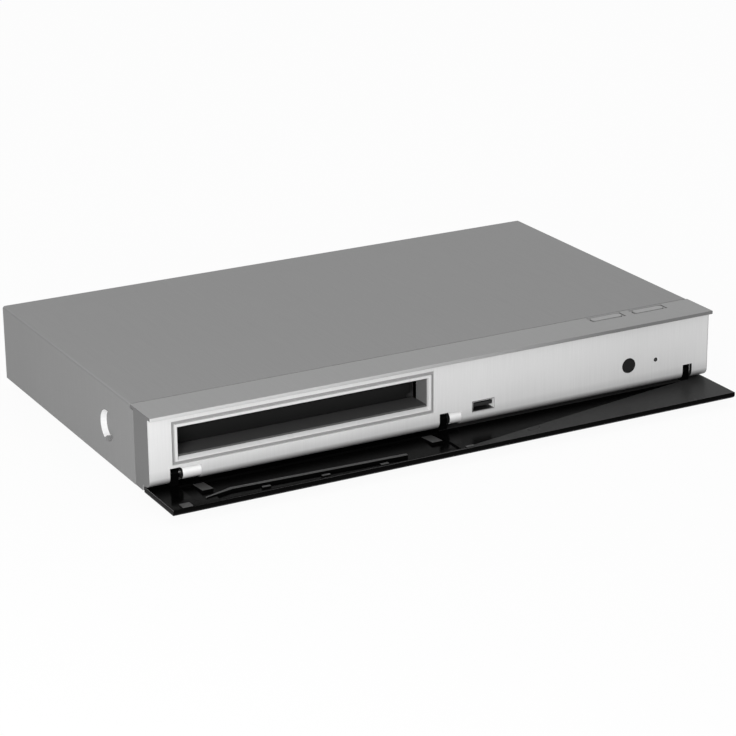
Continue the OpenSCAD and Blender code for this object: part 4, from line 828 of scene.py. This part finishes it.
@dataclass
class Cabinet(SubAssembly):
    """Folded top cover, chassis tray, rear panel, feet and screws.

    Attributes:
        cover_round: rounding of the cover's cut edges.
        sheet_round: rounding of the chassis and rear panel's cut edges.
        foot_round: rounding of the feet.
        head_d: diameter of a screw's head.
        head_t: its thickness.
        shank_d: diameter of its shank.
        slot_w: width of the cross recess.
        slot_len: length of the recess.
        slot_share: its depth as a share of the head.
        head_round: rounding of the head.
        screws: how many there are.
        threads: how many crests a shank shows.
        core_share: diameter of its core as a share of the shank's.
        crest_at: where a crest starts, in pitches of the thread.
        crest_share: its length in pitches.
        crest_round: its rounding in pitches.
        skin: how far in from its widest place the cover's flank still counts as flat.
        dimple: greatest depth of the side dimples.
        dimple_in: least distance of the dimples from the cover's top and front edge.
        dimple_lean: how far a dimple's wall must face forward to take the painted highlight.
    """

    cover_round: float = 0.08 * MM
    sheet_round: float = 0.1 * MM
    foot_round: float = 0.6 * MM
    head_d: float = 5.6 * MM
    head_t: float = 0.8 * MM
    shank_d: float = 3.0 * MM
    slot_w: float = 0.75 * MM
    slot_len: float = 3.0 * MM
    slot_share: float = 0.7
    head_round: float = 0.12 * MM
    screws: int = 3
    threads: int = 9
    core_share: float = 0.86
    crest_at: float = 0.25
    crest_share: float = 0.4
    crest_round: float = 0.18
    skin: float = 0.4 * MM
    dimple: float = 3.2 * MM
    dimple_in: float = 8.0 * MM
    dimple_lean: float = 0.35

    def rear_screws(self) -> None:
        """Model the rear panel's screws, each a rounded head with a cross recess on a ringed shank."""
        low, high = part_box("rear_screws")
        height = (low[2] + high[2]) / 2
        first = low[0] + self.head_d / 2
        step = (high[0] - low[0] - self.head_d) / (self.screws - 1)
        outer = high[1]
        head = disc("head", (first, outer - self.head_t, height), LYING, self.head_d, self.head_t)
        thin, long = self.slot_w / 2, self.slot_len / 2
        for wide, tall in ((long, thin), (thin, long)):
            cut(head, block("recess", (first - wide, outer - self.head_t * self.slot_share, height - tall),
                            (first + wide, outer + self.head_t, height + tall)))
        length = outer - self.head_t - low[1]
        pitch = length / self.threads
        shank = disc("shank", (first, low[1], height), LYING, self.shank_d * self.core_share, length)
        crests = []
        for turn in range(self.threads):
            base = (first, low[1] + (turn + self.crest_at) * pitch, height)
            crests.append(disc("crest", base, LYING, self.shank_d, pitch * self.crest_share))
            round_edges(crests[-1], pitch * self.crest_round, steps=1)
        round_edges(head, self.head_round)
        screw = merge("rear_screws_cut", [head, shank, *crests])
        screws = merge("rear_screws_cut", repeat(screw, (step, 0, 0), self.screws))
        self.settle(screws, SCREW, "rear_screws", "rear_screws")

    def build(self) -> None:
        """Dress the outer case."""
        cover = self.soften("top_cover", COVER, self.cover_round)
        low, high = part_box("top_cover")
        edge = high[0] - self.skin
        top, start = high[2] - self.dimple_in, low[1] + self.dimple_in
        # The cover's sides and the dimples' floors take the darker side grey: painted shade.
        self.patch(cover, COVER_SIDE_PAINTED_SHADE, lambda face: abs(face.normal.x) > MOSTLY and abs(face.center.x) > edge)
        self.patch(cover, COVER_SIDE_PAINTED_SHADE, lambda face: edge - self.dimple < abs(face.center.x) < edge
                   and face.center.z < top and abs(face.normal.x) > SQUARELY)
        # The dimples' forward-facing walls take the painted highlight.
        self.patch(cover, PAINTED_HIGHLIGHT_SILVER, lambda face: edge - self.dimple < abs(face.center.x) < edge
                   and face.center.z < top and face.center.y > start
                   and face.normal.y < -self.dimple_lean and abs(face.normal.z) < SQUARELY)
        self.soften("bottom_chassis", ZINC, self.sheet_round)
        self.soften("rear_panel", COVER_SIDE_PAINTED_SHADE, self.sheet_round)
        self.soften("rubber_feet", RUBBER, self.foot_round, steps=3)
        self.rear_screws()
        self.dress(MOTOR, "chassis_screws")


@dataclass
class FrontPanel(SubAssembly):
    """Grey moulding with its lip, silver fascia, tray opening, socket, window and keys.

    Attributes:
        moulding_round: rounding of the moulding's edges.
        fascia_round: rounding of the fascia's edges.
        ring_round: rounding of the ring round the tray opening.
        shell_round: rounding of the socket's shell.
        contact_count: how many contacts the socket has.
        contact_w: width of a contact.
        contact_t: its thickness.
        contact_in: how far it starts behind the tongue's end.
        contact_tip: length of its straight tip.
        contact_bend: reach and fall of its bent part.
        contact_run: reach and rise of its long part.
        contact_pitch: spacing of the contacts.
        contact_round: rounding of a contact.
        overlap: width of the fascia's ends that the cheeks cover.
        skirt: how far back a cheek's silver front edge reaches.
        groove: least depth of the ring's groove, whose floor takes painted shade.
        notch_in: the right hinge notch lies nearer than this to the fascia's end.
        notch_top: height of the notches' upper end.
    """

    moulding_round: float = 0.3 * MM
    fascia_round: float = 0.2 * MM
    ring_round: float = 0.15 * MM
    shell_round: float = 0.08 * MM
    contact_count: int = 4
    contact_w: float = 1.0 * MM
    contact_t: float = 0.12 * MM
    contact_in: float = 1.2 * MM
    contact_tip: float = 1.0 * MM
    contact_bend: Point = (0, 1.2 * MM, -0.25 * MM)
    contact_run: Point = (0, 6.0 * MM, 0.25 * MM)
    contact_pitch: float = 2.3 * MM
    contact_round: float = 0.04 * MM
    overlap: float = 0.2 * MM
    skirt: float = 4.0 * MM
    groove: float = 0.8 * MM
    notch_in: float = 40.0 * MM
    notch_top: float = 17.0 * MM

    def contacts(self) -> None:
        """Model the four spring contacts under the front socket's tongue."""
        low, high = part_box("front_usb_tongue")
        span = (self.contact_count - 1) * self.contact_pitch
        left = (low[0] + high[0] - span - self.contact_w) / 2
        start = low[1] + self.contact_in
        first = block("contact", (left, start, low[2] - self.contact_t),
                      (left + self.contact_w, start + self.contact_tip, low[2]))
        pull(first, (0, 1, 0), self.contact_bend, self.contact_run)
        round_edges(first, self.contact_round)
        row = merge("front_usb_contacts", repeat(first, (self.contact_pitch, 0, 0), self.contact_count))
        self.settle(row, GOLD, "front_usb_shell")

    def build(self) -> None:
        """Dress the front."""
        moulding = self.soften("front_moulding", MOULDING, self.moulding_round)
        # The moulding's sides take the painted shade.
        self.patch(moulding, MOULDING_SIDE_PAINTED_SHADE, lambda face: abs(face.normal.x) > MOSTLY)
        low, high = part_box("fascia")
        front, lip, edge = low[1], high[2], high[0] - self.overlap
        # The cheeks' front edges take the fascia's silver, with its painted shade low down.
        self.patch(moulding, SILVER_WITH_PAINTED_SHADE, lambda face: abs(face.normal.x) < MOSTLY and abs(face.center.x) > edge
                   and face.center.y < front + self.skirt and face.center.z < lip)
        # The lip's front faces take the painted highlight and shade.
        self.patch(moulding, LIP_FRONT_PAINTED_LIGHT, lambda face: face.normal.y < -PARTLY and face.center.y < front
                   and face.center.z > lip)
        fascia = self.soften("fascia", SILVER_WITH_PAINTED_SHADE, self.fascia_round)
        # The left-facing walls of the right hinge notch are painted black: painted shade.
        self.patch(fascia, BLACK, lambda face: face.normal.x < -SQUARELY and face.center.z < self.notch_top
                   and edge - self.notch_in < face.center.x < edge - self.skirt)
        ring = self.soften("tray_opening_frame", RING_SILVER, self.ring_round)
        # The groove's floor takes painted shade.
        self.patch(ring, RING_SHADE, lambda face: face.normal.y < -SQUARELY
                   and face.center.y > front + self.groove)
        tunnel = self.soften("mouth_tunnel", TUNNEL, self.ring_round)
        # The tunnel's side walls take the painted light.
        self.patch(tunnel, TUNNEL_SIDE_PAINTED_LIGHT, lambda face: abs(face.normal.x) > SQUARELY)
        # The bosses darken towards the bottom as painted shade.
        bosses = self.soften("hinge_bosses", BRIGHT_SILVER_PAINTED_SHADE, self.fascia_round)
        # The bosses' left end faces are painted black: painted shade.
        self.patch(bosses, BLACK, lambda face: face.normal.x < -SQUARELY)
        for node, finish in (("power_key", KEY), ("open_key", KEY), ("receiver_window", WINDOW)):
            self.soften(node, finish, self.ring_round)
        self.dress(LAMP, "lamp_lens")
        shell = self.soften("front_usb_shell", NICKEL, self.shell_round)
        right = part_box("front_usb_tongue")[1][0]
        # The shell's inner walls are painted black as painted shade, and its inner right wall takes a painted
        # highlight.
        self.patch(shell, BLACK, lambda face: abs(face.normal.y) < HALFWAY)
        self.patch(shell, PAINTED_HIGHLIGHT_SILVER, lambda face: face.normal.x < -SQUARELY and face.center.x > right)
        self.soften("front_usb_tongue", BLACK, self.ring_round)
        self.contacts()
        self.dress(ROD, "hinge_pins")
        self.dress(BOARD, "front_board", "key_board")
        self.dress(CHIP, "tact_switches")


@dataclass
class Door(SubAssembly):
    """The full-width door: glossy outer panel, inner frame and striker plate.

    Attributes:
        shell_round: rounding of the outer panel's edges.
        frame_round: rounding of the inner frame's edges.
        proud: least height over the inside of what counts as a rib, tab or wedge, which takes a painted
            highlight.
        detail_h: greatest height over the inside of one.
        edge_in: width of the strip by the left edge.
        edge_start: distance from the rear edge to the start of the painted highlight on the left edge.
    """

    shell_round: float = 0.3 * MM
    frame_round: float = 0.15 * MM
    proud: float = 0.15 * MM
    detail_h: float = 0.95 * MM
    edge_in: float = 0.6 * MM
    edge_start: float = 14.0 * MM

    def build(self) -> None:
        """Dress the door. The plain right half of its inside is a little less glossy than the pocket and
        painted lighter: a painted reflection.
        """
        self.soften("door_outer_panel", DOOR_SHELL, self.shell_round)
        inner = self.soften("door_inner_frame", DOOR_GLOSS, self.frame_round)
        low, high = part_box("door_outer_panel")
        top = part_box("door_striker")[0][2]
        left = low[0] + self.edge_in
        # The right half takes the painted reflection.
        self.patch(inner, DOOR_SATIN_PAINTED_REFLECTION, lambda face: face.center.x > 0 and face.normal.z > SQUARELY)
        # The raised details take the painted highlight.
        self.patch(inner, DOOR_DETAIL_PAINTED_HIGHLIGHT, lambda face: top + self.proud < face.center.z < top + self.detail_h
                   and face.center.x > left)
        # The left edge's rounding takes the painted highlight.
        self.patch(inner, DOOR_EDGE_PAINTED_HIGHLIGHT, lambda face: face.center.x < left and SLIGHTLY < face.normal.z < SQUARELY
                   and face.center.z > high[2] and face.center.y < high[1] - self.edge_start)
        self.soften("door_striker", STRIKER, self.frame_round)


@dataclass
class Loader(SubAssembly):
    """The disc tray with its drive, the loader's chassis and the clamp.

    Attributes:
        tray_round: rounding of the moulded pieces.
        sheet_round: rounding of the clamp's bridge.
    """

    tray_round: float = 0.15 * MM
    sheet_round: float = 0.1 * MM

    def build(self) -> None:
        """Dress the loader."""
        for node, finish in (("disc_tray", TRAY), ("tray_front", TRAY_FACE), ("clamper", LOADER)):
            self.soften(node, finish, self.tray_round)
        self.dress(LOADER, "loader_chassis")
        self.soften("clamp_bridge", ZINC, self.sheet_round)
        self.dress(MAGNET, "clamper_magnet")
        self.dress(RUBBER, "rubber_dampers", "drive_belt")
        self.dress(MOTOR, "loading_motor")
        self.dress(GEAR, "motor_pulley", "pulley_gear", "tray_drive_gear", "cam_slider")


@dataclass
class Optics(SubAssembly):
    """The traverse with its motors, rods, screw and pickup.

    Attributes:
        table_round: rounding of the turntable.
    """

    table_round: float = 0.2 * MM

    def build(self) -> None:
        """Dress the traverse."""
        self.dress(TRAVERSE, "traverse_frame")
        self.dress(ROD, "guide_rods")
        self.dress(MOTOR, "sled_motor", "spindle_motor", "pickup_sled")
        self.dress(BRASS, "lead_screw")
        self.dress(LENS, "objective_lens")
        self.soften("turntable", LOADER, self.table_round)


@dataclass
class Electronics(SubAssembly):
    """Boards, power parts and the rear sockets.

    Attributes:
        wire: thickness of the network socket's spring wires.
        wire_pitch: their spacing.
        wire_count: how many there are.
        wire_up: height of their fixed ends over the socket's underside.
        wire_in: depth of those ends in the port.
        wire_end: length of the straight end.
        wire_slope: reach and fall of the sloping part.
        wire_tip: reach and fall of the free tip.
        wire_round: rounding of a wire.
        pad_count: how many contacts show on the picture socket's tongue.
        pad_w: their width.
        pad_t: their thickness.
        pad_start: how far from the tongue's inner end they start.
        pad_end: how far from its outer end they end.
        pad_nose: reach and fall of their sloping tip.
        can_count: how many capacitors there are.
        can_round: rounding of their cans.
        top_share: diameter of a can's bare top as a share of the can's.
        top_t: its thickness.
        score_share: half the vent score's length as a share of the can's diameter.
        score_w: half the score's width.
        score_up: height of the score's floor over the can.
        parts: node, finish and rounding of the other softened parts on the boards.
        sockets: the same of the sockets.
    """

    wire: float = 0.45 * MM
    wire_pitch: float = 1.02 * MM
    wire_count: int = 8
    wire_up: float = 10.4 * MM
    wire_in: float = 2.5 * MM
    wire_end: float = 1.2 * MM
    wire_slope: Point = (0, -5.0 * MM, -3.2 * MM)
    wire_tip: Point = (0, -3.4 * MM, -0.4 * MM)
    wire_round: float = 0.12 * MM
    pad_count: int = 8
    pad_w: float = 0.4 * MM
    pad_t: float = 0.05 * MM
    pad_start: float = 3.0 * MM
    pad_end: float = 0.6 * MM
    pad_nose: Point = (0, 0.3 * MM, -0.04 * MM)
    can_count: int = 3
    can_round: float = 0.8 * MM
    top_share: float = 0.8
    top_t: float = 0.12 * MM
    score_share: float = 0.3
    score_w: float = 0.15 * MM
    score_up: float = 0.05 * MM
    parts: Rows = (
        ("heatsink", HEATSINK, 0.15 * MM),
        ("transformer", TAPE, 0.5 * MM),
    )
    sockets: Rows = (
        ("mains_inlet", BLACK, 0.4 * MM),
        ("optical_socket", BLACK, 0.2 * MM),
        ("mains_pins", BRASS, 0.3 * MM),
        ("hdmi_socket", NICKEL, 0.08 * MM),
        ("lan_socket", NICKEL, 0.15 * MM),
    )

    def network_wires(self) -> None:
        """Model the eight bent spring wires in the network socket's port."""
        low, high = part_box("lan_socket")
        span = (self.wire_count - 1) * self.wire_pitch
        left = (low[0] + high[0] - span - self.wire) / 2
        end, roof = high[1] - self.wire_in, low[2] + self.wire_up
        first = block("wire", (left, end - self.wire_end, roof - self.wire), (left + self.wire, end, roof))
        pull(first, (0, -1, 0), self.wire_slope, self.wire_tip)
        round_edges(first, self.wire_round)
        row = merge("lan_wires", repeat(first, (self.wire_pitch, 0, 0), self.wire_count))
        self.settle(row, GOLD, "lan_socket")

    def picture_contacts(self) -> None:
        """Model the small contacts on top of the picture socket's tongue."""
        low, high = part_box("hdmi_tongue")
        pitch = (high[0] - low[0]) / self.pad_count
        left = low[0] + (pitch - self.pad_w) / 2
        first = block("contact", (left, low[1] + self.pad_start, high[2]),
                      (left + self.pad_w, high[1] - self.pad_end, high[2] + self.pad_t))
        pull(first, (0, 1, 0), self.pad_nose)
        row = merge("hdmi_contacts", repeat(first, (pitch, 0, 0), self.pad_count))
        self.settle(row, GOLD, "hdmi_socket")

    def can_tops(self) -> None:
        """Model the bare metal tops of the power board's capacitors, with their scored vents."""
        low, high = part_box("capacitors")
        across = high[1] - low[1]
        step = (high[0] - low[0] - across) / (self.can_count - 1)
        middle = (low[1] + high[1]) / 2
        first = low[0] + across / 2
        top = disc("top", (first, middle, high[2]), UPRIGHT, across * self.top_share, self.top_t)
        long, thin = across * self.score_share, self.score_w
        for wide, tall in ((long, thin), (thin, long)):
            cut(top, block("score", (first - wide, middle - tall, high[2] + self.score_up),
                           (first + wide, middle + tall, high[2] + MM)))
        tops = merge("capacitor_tops", repeat(top, (step, 0, 0), self.can_count))
        self.settle(tops, MOTOR, "lan_socket")

    def build(self) -> None:
        """Dress the boards and sockets."""
        self.dress(BOARD, "main_board")
        self.dress(TAN_BOARD, "power_board")
        self.dress(CHIP, "main_chip")
        self.dress(BLACK, "hdmi_tongue", "optical_shutter")
        self.soften_rows(self.parts)
        self.soften("capacitors", SLEEVE, self.can_round, steps=3)
        self.can_tops()
        self.soften_rows(self.sockets)
        self.network_wires()
        self.picture_contacts()
        self.dress(RIBBON, "ribbon_cable")


@dataclass
class Studio:
    """Camera at the photograph's angle, pale floor, world and soft lamps.

    Attributes:
        aim: point that the camera looks at.
        azimuth: degrees round the object.
        elevation: degrees above the horizon.
        roll: degrees that the camera is turned about its axis.
        distance: from the aim to the camera.
        lens: focal length in millimetres on Blender's usual 36 mm sensor.
        clip: nearest and farthest distance that the camera sees.
        world_level: strength of the world's light.
        floor_size: side of the floor.
        floor_level: linear grey of the floor.
        floor_share: how far the floor is lifted towards white where it is seen.
        lamps: name, place, side in metres and power in watts of each lamp.
    """

    aim: Point = (0.007, 0.011, 0.0106)
    azimuth: float = -28.25
    elevation: float = 19.76
    roll: float = -0.51
    distance: float = 1.337
    lens: float = 123.26
    clip: Span = (0.05, 50.0)
    world_level: float = 0.56
    floor_size: float = 12.0
    floor_level: float = 0.86
    floor_share: float = 0.94
    lamps: tuple[tuple[str, Point, float, float], ...] = (
        ("front_left", (-0.6, -0.66, 0.2), 0.3, 4.8),
        ("over", (0.35, 0.5, 2.0), 1.4, 6.5),
    )

    def camera(self) -> None:
        """Make the camera."""
        turn, rise = math.radians(self.azimuth), math.radians(self.elevation)
        back = Vector((math.sin(turn) * math.cos(rise), -math.cos(turn) * math.cos(rise), math.sin(rise)))
        right = Vector((math.cos(turn), math.sin(turn), 0.0))
        up = back.cross(right)
        tilt = math.radians(self.roll)
        right, up = right * math.cos(tilt) + up * math.sin(tilt), up * math.cos(tilt) - right * math.sin(tilt)
        data = bpy.data.cameras.new("camera")
        data.lens = self.lens
        data.clip_start, data.clip_end = self.clip
        camera = bpy.data.objects.new("camera", data)
        bpy.context.scene.collection.objects.link(camera)
        camera.matrix_world = Matrix.Translation(Vector(self.aim) + back * self.distance) @ Matrix(
            (right, up, back)).transposed().to_4x4()
        bpy.context.scene.camera = camera

    def show(self, graph: Graph, output: str, share: float, plain: Socket, seen: Socket) -> None:
        """Blend in another shader where the camera, a gloss or a clear piece looks at the background.

        Args:
            graph: the background's node tree.
            output: name of its output node.
            share: share of the other shader there.
            plain: output of the shader that lights the player.
            seen: output of the other shader.
        """
        rays = graph.add("ShaderNodeLightPath").outputs
        looks = rays["Is Camera Ray"]
        for ray in ("Is Glossy Ray", "Is Transmission Ray"):
            looks = graph.add("ShaderNodeMath", looks, rays[ray], operation="MAXIMUM").outputs[0]
        factor = graph.add("ShaderNodeMath", looks, share, operation="MULTIPLY").outputs[0]
        blend = graph.add("ShaderNodeMixShader", factor, plain, seen)
        graph.feed(graph.nodes[output].inputs["Surface"], blend.outputs[0])

    def floor(self) -> None:
        """Make the floor: pale and diffuse, lifted towards white where it is seen."""
        deselect()
        bpy.ops.mesh.primitive_plane_add(size=self.floor_size, location=(0.0, 0.0, 0.0))
        floor = bpy.context.object
        floor.name = "floor"
        graph = Graph(bpy.data.materials.new("floor_paper"))
        paper = graph.fill(graph.nodes["Principled BSDF"], Base_Color=(self.floor_level,) * 3, Roughness=0.9,
                           Specular_IOR_Level=0.0)
        glow = graph.add("ShaderNodeEmission", Strength=1.0)
        self.show(graph, "Material Output", self.floor_share, paper.outputs[0], glow.outputs[0])
        floor.data.materials.append(graph.block)

    def world(self) -> None:
        """Make the world: pale where it is seen, plain soft light elsewhere."""
        graph = Graph(bpy.data.worlds.new("world"))
        sky = graph.fill(graph.nodes["Background"], Color=WHITE, Strength=self.world_level)
        seen = graph.add("ShaderNodeBackground", Strength=1.0)
        self.show(graph, "World Output", 1.0, sky.outputs[0], seen.outputs[0])
        bpy.context.scene.world = graph.block

    def light(self) -> None:
        """Make the soft lamps, each a square that faces the player."""
        for name, place, size, power in self.lamps:
            data = bpy.data.lights.new(name, "AREA")
            data.size, data.energy = size, power
            lamp = bpy.data.objects.new(name, data)
            bpy.context.scene.collection.objects.link(lamp)
            lamp.location = place
            lamp.rotation_euler = (Vector(self.aim) - Vector(place)).to_track_quat("-Z", "Y").to_euler()

    def build(self) -> None:
        """Set up the studio."""
        bpy.context.scene.view_settings.view_transform = "Standard"
        self.camera()
        self.floor()
        self.world()
        self.light()


def main() -> None:
    """Build the studio and every sub-assembly, then report the pieces."""
    logging.basicConfig(level=logging.INFO, format="%(message)s")
    Studio().build()
    for part in (Cabinet(), FrontPanel(), Door(), Loader(), Optics(), Electronics()):
        part.build()
        LOG.info("%s: %d pieces", type(part).__name__, len(part.pieces))


if __name__ == "__main__":
    main()
